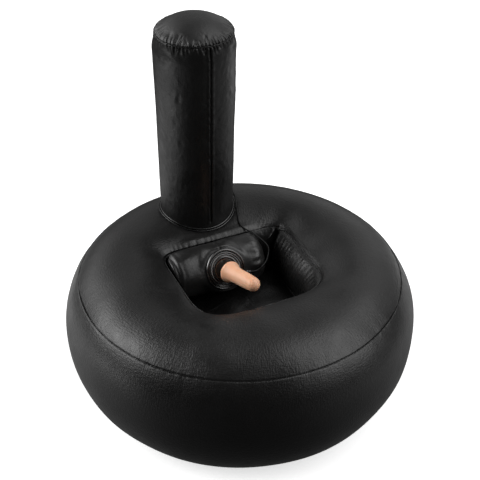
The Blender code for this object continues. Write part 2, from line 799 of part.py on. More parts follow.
def collar_socket(collar):
    """A cup behind the flange that grips the neck; a hole in its bottom lets the leads out."""
    lip, wall = COLLAR_THROAT - 0.0004, 0.0020
    section = [
        (lip, 0.0010), (lip, -0.0022), (SOCKET_RADIUS, -0.0062), (SOCKET_RADIUS, -SOCKET_DEPTH),
        (0.0040, -SOCKET_DEPTH), (0.0040, -SOCKET_DEPTH + wall), (NECK_RADIUS + 0.0003, -SOCKET_DEPTH + wall),
        (NECK_RADIUS + 0.0003, -SOCKET_DEPTH + 0.009), (NECK_RADIUS + 0.0030, -SOCKET_DEPTH + 0.009),
        (SOCKET_RADIUS - wall, -0.0070), (lip - wall, -0.0014), (lip - wall, 0.0010),
    ]
    return turned("collar_socket", section, "rubber", 24, closed=True, parent=collar)


def neck_path(collar_frame, massager_frame, start, end, count):
    """Points of the neck's centre line, which leaves the socket square and bends onto the massager's axis."""
    first = collar_frame @ Vector((0, 0, start))
    last = massager_frame @ Vector((0, 0, end))
    inward = (collar_frame @ Vector((0, 0, 1)) - collar_frame.translation).normalized()
    outward = (massager_frame @ Vector((0, 0, 1)) - massager_frame.translation).normalized()
    pull = (last - first).length / 3
    a, b, c, d = first, first + inward * pull, last - outward * pull, last
    points = []
    for i in range(count):
        t = i / (count - 1)
        points.append((1 - t) ** 3 * a + 3 * (1 - t) ** 2 * t * b + 3 * (1 - t) * t**2 * c + t**3 * d)
    return points


def neck_coupling(collar_frame, massager_frame):
    """A short soft neck, bored for the motor's leads."""
    start, end = -SOCKET_DEPTH + 0.0024, SLEEVE_START - 0.0006
    centre = neck_path(collar_frame, massager_frame, start, end, 8)
    neck = realise(wire("neck_coupling", centre, NECK_RADIUS, "grey_plastic", 4))
    beyond = 0.002
    inward = (centre[0] - centre[1]).normalized() * beyond
    outward = (centre[-1] - centre[-2]).normalized() * beyond
    channel = [centre[0] + inward, *centre, centre[-1] + outward]
    cutter = realise(wire("lead_channel_cutter", channel, LEAD_CHANNEL_RADIUS, None, 2))
    return cut(neck, cutter)


def massager_sleeve(axis):
    """A soft tapered sleeve with a flared base, bored from behind so that it slides over the core."""
    length = SLEEVE_END - SLEEVE_START
    tip = SLEEVE_RADIUS - 0.0012
    steps = 6
    outer = []
    for i in range(steps):
        turn = math.pi / 2 * i / steps
        outer.append((tip * math.sin(turn), length - tip * (1 - math.cos(turn))))
    outer += [(tip, length - tip), (SLEEVE_RADIUS, length * 0.62), (SLEEVE_RADIUS + 0.0004, length * 0.34)]
    outer += [(SLEEVE_RADIUS + 0.0016, length * 0.19), (SLEEVE_BASE_RADIUS - 0.0022, length * 0.095)]
    outer += [(SLEEVE_BASE_RADIUS, length * 0.055), (SLEEVE_BASE_RADIUS, 0.0020)]
    outer += [(SLEEVE_BASE_RADIUS - 0.0015, 0)]
    bore = [(BORE_RADIUS + 0.0008, 0), (BORE_RADIUS, 0.0012), (BORE_RADIUS, BORE_DEPTH - 0.006)]
    bore += [(BORE_RADIUS * 0.72, BORE_DEPTH - 0.0014), (0, BORE_DEPTH)]
    obj = turned("massager_sleeve", outer + bore, "silicone", 24, parent=axis)
    obj.location = (0, 0, SLEEVE_START)
    return obj


def core_tube(axis):
    """The rigid tube round the motor, with a rounded nose and an open back."""
    inner = CORE_RADIUS - CORE_WALL
    section = [
        (0, CORE_LENGTH), (CORE_RADIUS * 0.66, CORE_LENGTH - 0.0014),
        (CORE_RADIUS, CORE_LENGTH - 0.0062), (CORE_RADIUS, 0), (inner, 0), (inner, CORE_LENGTH - 0.0070),
        (inner * 0.6, CORE_LENGTH - 0.0030), (0, CORE_LENGTH - CORE_WALL),
    ]
    return turned("core_tube", section, "black_plastic", 24, parent=axis, location=(0, 0, SLEEVE_START))


def core_plug(axis):
    """The plug that closes the core's back, with a hole for the leads."""
    inner = CORE_RADIUS - CORE_WALL - GAP
    section = [(inner, 0.0060), (inner, 0.0), (0.0022, 0.0), (0.0022, 0.0060)]
    where = (0, 0, SLEEVE_START)
    return turned("core_plug", section, "grey_plastic", 24, closed=True, parent=axis, location=where)


def motor(axis):
    """The can motor with its rear cap, armature and shaft."""
    back = (0, 0, SLEEVE_START + MOTOR_SETBACK)
    radius, length, bore = MOTOR_RADIUS, MOTOR_LENGTH, 0.0011
    inner, nose = radius - MOTOR_SKIN, length - 0.0012
    can = [(radius - 0.0006, length), (radius, length - 0.0006), (radius, 0.0)]
    can += [(inner, 0.0), (inner, nose), (bore, nose), (bore, length)]
    turned("motor_can", can, "steel", 20, closed=True, parent=axis, location=back)
    cap = [(0, 0.0022), (inner - GAP, 0.0022), (inner - GAP, 0.0002), (0, 0.0002)]
    turned("motor_rear_cap", cap, "black_plastic", 20, parent=axis, location=back)
    armature = [(0, 0.0160), (0.0044, 0.0160), (0.0044, 0.0040), (0, 0.0040)]
    turned("motor_armature", armature, "copper_wire", 16, parent=axis, location=back)
    rod("motor_shaft", SHAFT_RADIUS, 0.0106, "steel", 10, parent=axis, location=(0, 0, back[2] + 0.0163))


def eccentric_weight(axis):
    """The half-round weight on the motor's shaft that shakes the core."""
    back = SLEEVE_START + MOTOR_SETBACK + MOTOR_LENGTH + 0.0010
    radius = MOTOR_RADIUS + 0.0002
    section = [(0, WEIGHT_LENGTH), (radius, WEIGHT_LENGTH), (radius, 0), (0, 0)]
    weight = turned("eccentric_weight", section, "brass", 20, parent=axis, location=(0, 0, back))
    depth = 0.007
    half = block("weight_half_cutter", (0.014, depth, 0.012), None, parent=axis)
    half.location = (0, -depth / 2 - WEIGHT_OVERLAP, back + WEIGHT_LENGTH / 2)
    behind = (0, 0, back - 0.002)
    bore = rod("weight_bore_cutter", SHAFT_RADIUS + GAP, 0.012, None, 10, parent=axis, location=behind)
    cut(cut(weight, half), bore)


def lead_wires(collar_frame, massager_frame):
    """Two thin leads from the motor through the neck and the socket's floor."""
    for name, side in (("lead_wire_lower", -1), ("lead_wire_upper", 1)):
        shift = side * LEAD_SPREAD
        beside = (collar_frame @ Vector((0, shift, 0))) - collar_frame.translation
        inside = neck_path(collar_frame, massager_frame, -SOCKET_DEPTH - 0.004, SLEEVE_START + 0.010, 8)
        points = [collar_frame @ Vector((x, shift, -SOCKET_DEPTH - 0.009)) for x in (0.010, 0.003)]
        points += [p + beside for p in inside]
        points.append(massager_frame @ Vector((0, 0, SLEEVE_START + 0.0128)) + beside)
        wire(name, points, LEAD_RADIUS, "copper_wire", 1)


def strain_relief(name, at, towards, length, wide, narrow, sides=14):
    """A tapered boot whose local Z runs along the cable as it leaves."""
    way = Vector(towards).normalized()
    turn = Vector((0, 0, 1)).rotation_difference(way).to_euler()
    waist = (wide + narrow) / 2
    section = [(0, length), (narrow, length), (waist - 0.0002, length * 0.55), (wide, length * 0.22)]
    section += [(wide, 0), (0, 0)]
    return turned(name, section, "rubber", sides, location=tuple(at), rotation=turn)


def valve_flange(name, frame, surface):
    """The valve's welded pad; surface(x, z) is how far the skin falls back under it."""
    hole = VALVE_STEM + 0.0005
    section = [(VALVE_FLANGE, VALVE_PAD), (VALVE_FLANGE, GAP), (hole, GAP), (hole, VALVE_PAD)]
    flange = realise(turned(name, section, "clear_vinyl", 20, closed=True, parent=frame))
    for vertex in flange.data.vertices:
        x, y, z = vertex.co
        vertex.co = (x, z - surface(x, y), y)
    flange.data.flip_normals()


def valve_plug(name, frame, upright):
    head, low = STEM_OUT + 0.0028, STEM_OUT + GAP
    shank = VALVE_BORE - GAP
    section = [
        (0, head), (PLUG_HEAD - 0.0008, head), (PLUG_HEAD, head - 0.0010), (PLUG_HEAD, low),
        (shank, low), (shank, STEM_OUT - 0.0050), (VALVE_BORE - 0.0010, STEM_OUT - 0.0075),
        (0, STEM_OUT - 0.0075),
    ]
    turned(name, section, "clear_vinyl", 16, parent=frame, rotation=upright)


def valve(prefix, frame, surface):
    """An inflation valve whose local Y runs outwards; it gives back the cutter of its hole."""
    upright = (math.radians(-90), 0, 0)
    valve_flange(prefix + "_flange", frame, surface)
    lip = VALVE_STEM + 0.0016
    stem = [
        (lip, STEM_OUT), (lip, 0.0016), (VALVE_STEM, 0.0014), (VALVE_STEM, -STEM_IN),
        (VALVE_BORE, -STEM_IN), (VALVE_BORE, STEM_OUT),
    ]
    turned(prefix + "_stem", stem, "clear_vinyl", 16, closed=True, parent=frame, rotation=upright)
    valve_plug(prefix + "_plug", frame, upright)
    strap_size, strap_place = (0.0042, 0.0010, 0.0050), (0, STEM_OUT + 0.0009, -0.0104)
    block(prefix + "_tether", strap_size, "clear_vinyl", parent=frame, location=strap_place)
    thick = 0.0008
    flap = [(0, thick), (FLAP_DROP - 0.0002, thick), (FLAP_DROP - 0.0002, 0), (0, 0)]
    hinge = empty_at(prefix + "_flap_hinge", (0, -STEM_IN - 0.0004, FLAP_DROP), parent=frame)
    seat = (0, -thick, -FLAP_DROP)
    turned(prefix + "_flap", flap, "clear_vinyl", 16, parent=hinge, location=seat, rotation=upright)
    place_of_hole = {"parent": frame, "location": (0, -0.010, 0), "rotation": upright}
    return rod(prefix + "_hole_cutter", VALVE_STEM + 0.0004, 0.020, None, 20, **place_of_hole)


def seat_fall(x, z):
    """How far the seat's side lies behind its backmost point."""
    reach = seat_side_reach(SEAT_VALVE_HEIGHT + z)
    return SEAT_RADIUS - math.sqrt(reach**2 - x**2)


def column_fall(x, z):
    radius = column_radius(COLUMN_VALVE_HEIGHT)
    return radius - math.sqrt(column_radius(COLUMN_VALVE_HEIGHT + z) ** 2 - x**2)


def half_shell(name, low, high, open_up):
    """One half of the handset's case, hollow and open towards the split."""
    height = high - low
    shell = block(
        name, (HANDSET_LENGTH, HANDSET_WIDTH, height), "black_plastic", corner=0.009,
        location=(HANDSET_X, HANDSET_Y, (low + high) / 2),
    )
    outer_edge = -1 if open_up else 1
    bm = bmesh.new()
    bm.from_mesh(shell.data)
    rim = [
        e for e in bm.edges
        if all(v.co.z * outer_edge > height / 2 - 1e-6 for v in e.verts)
    ]
    bmesh.ops.bevel(bm, geom=rim, offset=0.0026, segments=2, profile=0.5, affect="EDGES")
    bm.to_mesh(shell.data)
    bm.free()
    shade_round(shell.data)
    cavity = (HANDSET_LENGTH - 2 * HANDSET_WALL, HANDSET_WIDTH - 2 * HANDSET_WALL, height)
    shift = HANDSET_WALL if open_up else -HANDSET_WALL
    hollow = block(
        name + "_hollow_cutter", cavity, None, corner=0.0072,
        location=(HANDSET_X, HANDSET_Y, (low + high) / 2 + shift),
    )
    return cut(shell, hollow)


def screw_posts(bottom, top):
    """Join each screw's two posts to the halves of the case."""
    for number, (x, y) in enumerate(SCREW_PLACES):
        tall = HANDSET_SPLIT - GAP - POST_RISE
        post = rod("low_post_%d" % number, 0.0032, tall, None, 14, location=(x, y, POST_RISE))
        cut(bottom, post, "UNION")
        tall = HANDSET_HEIGHT - HANDSET_SPLIT - POST_RISE
        post = rod("high_post_%d" % number, 0.0028, tall, None, 14, location=(x, y, HANDSET_SPLIT))
        cut(top, post, "UNION")


def screw_holes(bottom, top):
    for number, (x, y) in enumerate(SCREW_PLACES):
        through = rod("screw_hole_cutter_%d" % number, 0.0014, 0.030, None, 12, location=(x, y, -0.008))
        head = rod("screw_head_cutter_%d" % number, 0.0024, 0.0076, None, 14, location=(x, y, -0.0034))
        cut(cut(bottom, through), head)
        above = (x, y, HANDSET_SPLIT - 0.001)
        cut(top, rod("pilot_cutter_%d" % number, 0.0013, 0.009, None, 12, location=above))


def handset_case():
    bottom = half_shell("handset_bottom_shell", 0.0, HANDSET_SPLIT - GAP, True)
    top = half_shell("handset_top_shell", HANDSET_SPLIT, HANDSET_HEIGHT, False)
    screw_posts(bottom, top)
    screw_holes(bottom, top)
    through_top = HANDSET_HEIGHT - 0.008
    dial_hole = rod("dial_hole_cutter", 0.0038, 0.02, None, 20, location=(DIAL_X, HANDSET_Y, through_top))
    lens_hole = rod("lens_hole_cutter", 0.0020, 0.02, None, 14, location=(LENS_X, HANDSET_Y, through_top))
    cut(cut(top, dial_hole), lens_hole)
    ease_of_fit = 0.0008
    run_out = DOOR_LENGTH + ease_of_fit + DOOR_RUN_OUT
    door_gap = block("door_cutter", (run_out, DOOR_WIDTH + ease_of_fit, 0.006), None, corner=0.002)
    door_gap.location = (DOOR_X - DOOR_RUN_OUT / 2, HANDSET_Y, 0.0)
    cut(bottom, door_gap)
    cable_hole = rod("cable_hole_cutter", 0.0030, 0.012, None, 16, rotation=(0, math.pi / 2, 0))
    cable_hole.location = (HANDSET_X + HANDSET_LENGTH / 2 - 0.006, HANDSET_Y, HANDSET_SPLIT)
    cut(bottom, cable_hole)
    cut(top, cable_hole)


def battery_door():
    """The door in the case's underside; it slides out through the end away from the cable."""
    where = (DOOR_X, HANDSET_Y, 0.0011)
    size = (DOOR_LENGTH, DOOR_WIDTH, 0.0014)
    return block("battery_door", size, "black_plastic", corner=0.0018, location=where)


def screws():
    for name, (x, y) in zip(("case_screw_front", "case_screw_back"), SCREW_PLACES):
        section = [(0, 0.0), (0.0010, 0.0), (0.0010, -0.0138), (0.0020, -0.0138)]
        section += [(0.0018, -0.0152), (0, -0.0152)]
        turned(name, section, "steel", 10, location=(x, y, SHAFT_SEAT))


def speed_dial():
    """The knurled knob: a turned body with a fluted skirt and a pointer groove."""
    top = DIAL_HEIGHT
    skirt = ((DIAL_RADIUS, 0.0, 1), (DIAL_RADIUS - 0.0004, 0.0066, 1))
    crown = ((DIAL_RADIUS - 0.0020, top, 0), (0.0030, top, 0))
    rings = []
    for radius, height, depth in skirt + crown:
        ring = []
        for a in round_angles(3 * DIAL_FLUTES):
            flute = 0.0005 * depth * (0.5 - 0.5 * math.cos(DIAL_FLUTES * a))
            ring.append(((radius - flute) * math.cos(a), (radius - flute) * math.sin(a), height))
        rings.append(ring)
    where = (DIAL_X, HANDSET_Y, HANDSET_HEIGHT + 0.0004)
    knob = lofted("speed_dial", rings, "black_plastic", close_start=True, close_end=True, location=where)
    groove = block("dial_groove_cutter", (0.008, 0.0010, 0.0012), None)
    groove.location = (DIAL_X + 0.0078, HANDSET_Y, where[2] + DIAL_HEIGHT)
    bore = rod("dial_bore_cutter", 0.0032, 0.0060, None, 16, location=(DIAL_X, HANDSET_Y, where[2] - 0.0010))
    return cut(cut(knob, groove), bore)


def speed_control():
    """The dial's shaft, the control that it turns, the board under it and the lamp's lens."""
    shaft = [(0, 0.0112), (0.0026, 0.0112), (0.0029, 0.0108), (0.0029, 0.0), (0, 0.0)]
    turned("dial_shaft", shaft, "steel", 16, location=(DIAL_X, HANDSET_Y, SHAFT_SEAT))
    pot = [(0, 0.0044), (0.0080, 0.0044), (0.0080, 0.0), (0, 0.0)]
    turned("speed_pot", pot, "grey_plastic", 20, location=(DIAL_X, HANDSET_Y, 0.0124))
    board = block("circuit_board", (0.0220, 0.0240, 0.0014), "board", corner=0.001)
    board.location = (DIAL_X, HANDSET_Y, 0.0112)
    lens = [(0, 0.0038), (0.0010, 0.0034), (0.0016, 0.0022), (0.0016, 0.0), (0, 0.0)]
    turned("indicator_lens", lens, "lens", 14, location=(LENS_X, HANDSET_Y, HANDSET_HEIGHT - 0.0026))


def batteries():
    """Two cells side by side and the plate that joins them."""
    nub = BATTERY_LENGTH + 0.0016
    body = [(0, nub), (0.0026, nub), (0.0026, BATTERY_LENGTH), (BATTERY_RADIUS, BATTERY_LENGTH)]
    body += [(BATTERY_RADIUS, 0), (0, 0)]
    for name, side in (("battery_cell_front", -1), ("battery_cell_back", 1)):
        where = (CELL_START_X, HANDSET_Y + side * BATTERY_PITCH / 2, CELL_HEIGHT)
        turned(name, body, "cell", 16, location=where, rotation=(0, math.pi / 2, 0))
    beyond = CELL_START_X + BATTERY_LENGTH + 0.0022
    block("contact_plate", (0.0004, 0.0300, 0.0090), "steel", location=(beyond, HANDSET_Y, CELL_HEIGHT))


def contact_springs():
    """The two conical springs behind the cells."""
    turns, per_turn = 2, 7
    start, travel = CELL_START_X - 0.0027, 0.0020
    for name, side in (("contact_spring_front", -1), ("contact_spring_back", 1)):
        points = []
        for i in range(turns * per_turn + 1):
            a = 2 * math.pi * i / per_turn
            share = i / (turns * per_turn)
            reach = 0.0030 - 0.0010 * share
            y = HANDSET_Y + side * BATTERY_PITCH / 2 + reach * math.cos(a)
            points.append((start + travel * share, y, CELL_HEIGHT + reach * math.sin(a)))
        wire(name, points, 0.0003, "steel", 1)


def cable():
    route, length = smooth_route(CABLE_ROUTE, CABLE_POINTS)
    wire("control_cable", route, CABLE_RADIUS, "cable", 2)
    print("control_cable length %.3f m" % length)
    for name, length, wide, narrow, end, before in (
        ("cable_gland", 0.0110, 0.0034, 0.0023, route[0], route[1]),
        ("handset_strain_relief", 0.0220, 0.0036, 0.0022, route[-1], route[-2]),
    ):
        way = (before - end).normalized()
        strain_relief(name, end - way * (length + GAP), way, length, wide, narrow)


def collar_and_massager_axes():
    """The empties that carry the collar and the massager; both start at the collar's centre."""
    out = BOLSTER_RADIUS * math.cos(COLLAR_LIFT)
    up = BOLSTER_RADIUS * math.sin(COLLAR_LIFT)
    centre = (COLLAR_X, BOLSTER_Y - out, BOLSTER_Z + up)
    collar = empty_at("collar_axis", centre, (math.pi / 2 - COLLAR_LIFT, 0, 0))
    massager = empty_at("massager_axis", centre, (math.pi / 2 - MASSAGER_RAISE, 0, MASSAGER_YAW))
    bpy.context.view_layer.update()
    return collar, massager


def build_seat(column):
    """The seat's bag with the well in it, open under the column's foot."""
    seat_base_panel()
    side = seat_side_panel()
    top = seat_top_panel()
    outer_seam_weld()
    well_wall()
    well_rim_weld()
    well_floor()
    floor_tie("floor_tie_left", -TIE_X)
    floor_tie("floor_tie_right", TIE_X)
    foot_hole = rod(
        "column_foot_cutter", COLUMN_FOOT_RADIUS + 0.0006, 0.060, None, COLUMN_SIDES,
        location=(0, 0, -0.030), parent=column,
    )
    cut(top, foot_hole)
    frame = empty_at("seat_valve_axis", (0, SEAT_RADIUS, SEAT_VALVE_HEIGHT))
    cut(side, valve("seat_valve", frame, seat_fall))


def build_column(column):
    wall = column_wall(column)
    column_cap(column)
    column_cap_weld(column)
    column_base_panel(column)
    column_base_weld()
    backmost = (0, column_radius(COLUMN_VALVE_HEIGHT), COLUMN_VALVE_HEIGHT)
    frame = empty_at("column_valve_axis", backmost, parent=column)
    cut(wall, valve("column_valve", frame, column_fall))


def build_bolster(collar):
    bolster_wall(collar)
    left, right = bolster_seams()
    bolster_end("bolster_end_left", left, BOLSTER_LEFT, BOLSTER_LEFT_DOME, -1)
    bolster_end("bolster_end_right", right, BOLSTER_RIGHT, BOLSTER_RIGHT_DOME, 1)
    collar_flange(collar)
    collar_socket(collar)


def build_massager(collar, massager):
    collar_frame = collar.matrix_world.copy()
    massager_frame = massager.matrix_world.copy()
    neck_coupling(collar_frame, massager_frame)
    massager_sleeve(massager)
    core_tube(massager)
    core_plug(massager)
    motor(massager)
    eccentric_weight(massager)
    lead_wires(collar_frame, massager_frame)


def build_handset():
    handset_case()
    battery_door()
    screws()
    speed_dial()
    speed_control()
    batteries()
    contact_springs()
    cable()


def build():
    foot = (COLUMN_X, COLUMN_Y, COLUMN_FOOT_HEIGHT)
    column = empty_at("column_axis", foot, (COLUMN_LEAN, 0, 0))
    collar, massager = collar_and_massager_axes()
    build_seat(column)
    build_column(column)
    build_bolster(collar)
    build_massager(collar, massager)
    build_handset()


clear_scene()
PARTS = new_collection("inflatable_vibrating_seat")
CUTTERS = new_collection("cutters")
build()
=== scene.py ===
"""Dressed scene of an inflatable round seat with a column, a bolster in its well and a wired handset.

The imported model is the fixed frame. Soft skins, beads, collar, neck, sleeve and cable are modelled
here in its metres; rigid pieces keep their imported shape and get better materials.
"""

import json
import math

import bmesh
import bpy
import numpy as np
from mathutils import Matrix, Vector

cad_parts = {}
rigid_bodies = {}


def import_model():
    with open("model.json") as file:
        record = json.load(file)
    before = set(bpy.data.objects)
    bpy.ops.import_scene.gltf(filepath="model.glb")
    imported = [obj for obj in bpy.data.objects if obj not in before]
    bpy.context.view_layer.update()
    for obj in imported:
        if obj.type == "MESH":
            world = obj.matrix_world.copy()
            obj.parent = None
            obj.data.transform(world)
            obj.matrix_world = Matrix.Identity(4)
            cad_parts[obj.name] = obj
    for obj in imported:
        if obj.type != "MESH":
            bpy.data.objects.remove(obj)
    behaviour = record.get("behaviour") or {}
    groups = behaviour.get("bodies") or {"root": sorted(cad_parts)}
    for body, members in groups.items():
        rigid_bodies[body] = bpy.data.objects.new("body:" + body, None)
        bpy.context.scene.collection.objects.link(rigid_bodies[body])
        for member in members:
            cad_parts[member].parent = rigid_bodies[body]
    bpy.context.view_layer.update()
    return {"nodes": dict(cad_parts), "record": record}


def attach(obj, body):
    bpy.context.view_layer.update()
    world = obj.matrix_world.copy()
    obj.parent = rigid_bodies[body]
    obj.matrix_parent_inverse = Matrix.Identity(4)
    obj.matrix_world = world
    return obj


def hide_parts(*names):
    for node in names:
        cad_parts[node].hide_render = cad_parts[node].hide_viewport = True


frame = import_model()

CAMERA_PLACE = (-0.7037, -1.5266, 1.5459)
CAMERA_TURN = (math.radians(54.7187), 0.0, math.radians(-24.7475))
CAMERA_LENS, CAMERA_SENSOR = 74.293, 36.0

# Room: azimuth from the front towards +X, elevation and radiance of each soft light
LIGHT_TIGHTNESS = 20.0
ROOM_LIGHTS = (
    (-165.0, 8.0, 0.33),
    (30.0, 8.0, 0.35),
    (57.0, 8.0, 0.19),
    (111.0, 8.0, 0.50),
    (138.0, 8.0, 0.55),
    (165.0, 8.0, 0.11),
    (-165.0, 32.0, 1.00),
    (-138.0, 32.0, 2.88),
    (-111.0, 32.0, 8.17),
    (50.0, 27.0, 4.30),
    (138.0, 32.0, 0.45),
    (165.0, 32.0, 0.07),
    (57.0, 56.0, 2.10),
    (84.0, 56.0, 2.20),
    (111.0, 56.0, 0.95),
)

# Floor: half its width, its own white for the camera, and what other rays see of it, which is
# a dim glow with pools of light in it, each with its place and level
FLOOR_HALF = 6.0
FLOOR_WHITE = 0.62
FLOOR_GLOW = 0.059
POOL_SPREAD = 0.45
FLOOR_POOLS = (
    (-0.9, 0.1, 0.60),
    (-0.75, 0.85, 1.15),
    (0.95, 0.0, 0.50),
    (0.7, -0.75, 0.50),
    (-1.7, 0.3, 4.4),
    (1.7, 0.5, 1.90),
)

# How far the scene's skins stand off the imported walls, and the drop from the rim to the wall's first ring
STAND_OFF = 0.0006
RIM_EDGE = 0.002

# Seat
SEAT_RADIUS = 0.375
CONTACT_RADIUS = 0.242
EQUATOR_HEIGHT = 0.167
CREST_RADIUS = 0.246
CREST_HEIGHT = 0.317
LOWER_FULLNESS = 2.24
UPPER_FULLNESS = 2.23
SEAM_TURN = math.radians(45.0)
SEAT_COLUMNS = 432

# Well
WELL_CENTRE_X = 0.004
WELL_CENTRE_Y = -0.0155
WELL_HALF_WIDTH = 0.145
WELL_HALF_DEPTH = 0.1245
WELL_BACK_SQUARENESS = 9.0
WELL_FRONT_SQUARENESS = 4.0
RIM_HEIGHT = 0.290
WELL_FLOOR_HEIGHT = 0.188
FLOOR_CROWN = 0.005
WALL_SLOPE = 0.028
WALL_BULGE = 0.007
BACK_WALL_GIVE = 0.014
WALL_SHARES = (0.0, 0.18, 0.45, 0.75, 1.0)
CORNER_CROWDING = math.radians(8.0)
WALL_RUN = 0.100
FOOT_LIFT = 0.0012

# Column
COLUMN_X = -0.0055
COLUMN_Y = 0.2215
COLUMN_FOOT_HEIGHT = 0.309
COLUMN_LEAN = math.radians(1.66)
COLUMN_FOOT_RADIUS = 0.0806
COLUMN_HEAD_RADIUS = 0.0866
COLUMN_LENGTH = 0.4311
COLUMN_CROWN = 0.0305
CROWN_FULLNESS = 2.5
COLUMN_SINK = 0.012
CAP_TUCK = 0.0050
TUCK_RUN = 0.0370
COLUMN_COLUMNS = 480
SEAM_CROWDING = 0.72

# Marks in the seat's film, in metres: the height or depth of each, then the lengths it takes
SEAM_DEPTH, SEAM_WIDTH = 0.0012, 0.0017
PUCKER_HEIGHT, PUCKER_WAVE, PUCKER_REACH, PUCKER_PATCH = 0.0009, 0.012, 0.007, 0.16
PULL_HEIGHT, PULL_WAVE, PULL_REACH = 0.0002, 0.034, 0.045
SWELL_HEIGHT, SWELL_WAVE = 0.0012, 0.19
FOOT_DEPTH, FOOT_WIDTH = 0.0034, 0.009
FOOT_PULL_HEIGHT, FOOT_PULL_WAVE, FOOT_PULL_REACH = 0.0007, 0.016, 0.018
LIP_DEPTH, LIP_WIDTH, LIP_KEPT_BEHIND = 0.0026, 0.0065, 0.8
LIP_PUCKER_HEIGHT, LIP_PUCKER_WAVE, LIP_PUCKER_REACH = 0.0004, 0.013, 0.012
BEHIND_Y = 0.05
SHELF_HEIGHT, SHELF_PLACE, SHELF_WIDTH = 0.0034, 0.013, 0.009
REAR_TUCK_DEPTH, REAR_TUCK_SPACING, REAR_TUCK_REACH = 0.0014, 0.0135, 0.014
CORNER_CREASE_DEPTH, CORNER_CREASE_TURN = 0.0060, 0.030
END_SLUMP, SIDE_SLUMP, SLUMP_TURN = 0.027, 0.011, 0.06
STREAK_HEIGHT, STREAK_WAVE, FINE_STREAK_WAVE = 0.0005, 0.024, 0.011
FOLD_HEIGHT, FOLD_SOFTNESS, DIMPLE_HEIGHT, DIMPLE_WAVE = 0.0014, 0.02, 0.0005, 0.05
# Folds in the floor: slopes in x and y and offset of the line, its width, its axis, start and end
FLOOR_FOLDS = (
    (-0.32, 1.0, -0.02316, 0.0022, 0, -0.075, 0.012),
    (1.0, 0.06, -0.0195, 0.0026, 1, -0.034, 0.028),
    (1.0, 0.31, 0.06243, 0.0024, 1, 0.010, math.inf),
)

# Welds: stretches of the outer seam where it melted, as middle and width in degrees, and the rim's bead
MELTED_STRETCHES = ((-142.0, 5.0), (-65.0, 6.0), (20.0, 4.0), (95.0, 5.0), (160.0, 5.0))
SPOT_SPACING = 0.0091
RIM_BEAD_RADIUS, RIM_BEAD_INSET, RIM_BEAD_DROP = 0.0010, 0.0012, 0.0046

# Marks in the column's film; a ridge is its height, its place up from the cap's seam and its width
CAP_RIDGES = ((0.0020, 0.008, 0.008), (0.0009, -0.010, 0.009), (-0.0016, 0.0, 0.0018))
GATHER_WIDTH, GATHER_DEPTH, GATHER_LEAN = (0.0010, 0.0026), (0.0018, 0.0044), (-0.35, 0.35)
GATHER_UP, GATHER_DOWN = (0.016, 0.034), (0.007, 0.024)
GATHER_STEP, GATHER_SPREAD = (0.065, 0.155), 0.016
SKIRT_HEIGHT, SKIRT_WAVE, SKIRT_PLACE = 0.0009, 0.030, -0.018
UPRIGHT_SEAM_DEPTH, UPRIGHT_SEAM_WIDTH = 0.0028, 0.0013
WELT_HEIGHT, WELT_PLACE, WELT_WIDTH = 0.0009, 0.0045, 0.0028
STITCH_HEIGHT, STITCH_WAVE, STITCH_PLACE, STITCH_WIDTH = 0.0007, 0.011, 0.003, 0.0035
SLOW_WAVE_HEIGHT, SLOW_WAVE_LENGTH = 0.0006, 0.11
CRINKLE_HEIGHT, CRINKLE_WAVE, CRINKLE_PATCH = 0.0004, 0.017, 0.06

# Bolster
BOLSTER_Y = 0.080
BOLSTER_Z = 0.2435
BOLSTER_RADIUS = 0.054
BOLSTER_LEFT = -0.094
BOLSTER_RIGHT = 0.054
BOLSTER_LEFT_DOME = 0.034
BOLSTER_RIGHT_DOME = 0.034
DOME_FULLNESS = 2.3
LEFT_FULLNESS = 3.4
PRESS_CLEARANCE = 0.0027
RIM_CLEARANCE = 0.0045
BOLSTER_COLUMNS = 192
LEFT_SHIFT, LEFT_SHIFT_START, LEFT_SHIFT_RUN = 0.012, -0.098, 0.028
LEFT_FOLD_HEIGHT, LEFT_FOLD_SPACING, LEFT_FOLD_PLACE, LEFT_FOLD_REACH = 0.0021, 0.0088, -0.124, 0.012
RIGHT_CREASE_HEIGHT, RIGHT_CREASE_WAVE, RIGHT_CREASE_START = 0.0011, 0.016, 0.036
SLACK_HEIGHT, SLACK_WAVE = 0.0006, 0.05
BOLSTER_WELD_DEPTH = 0.0014
HIGHEST_MARK, BOLSTER_INSET = 0.0014, 0.0004

# Collar and massager
COLLAR_X = -0.0202
COLLAR_LIFT = math.radians(24.0)
COLLAR_RADIUS = 0.0445
COLLAR_THROAT = 0.0244
COLLAR_WRAP = 0.35
SOCKET_DEPTH = 0.026
MASSAGER_YAW = math.radians(11.0)
MASSAGER_RAISE = math.radians(12.6)
SLEEVE_START = 0.015
SLEEVE_END = 0.1161
SLEEVE_RADIUS = 0.0165
SLEEVE_BASE_RADIUS = 0.0235
BORE_RADIUS = 0.0103
BORE_DEPTH = 0.052
NECK_RADIUS = 0.0085

COLLAR_BAND, RIB_COUNT, RIB_HEIGHT = (0.0298, 0.0346), 96, 0.00035
NECK_BORE, NECK_RING_SPACING, NECK_RING_HEIGHT = 0.0026, 0.0042, 0.0005

# Threads of the film's linen emboss, for each metre across and along them
LINEN_FINE, LINEN_COARSE = 340.0, 110.0

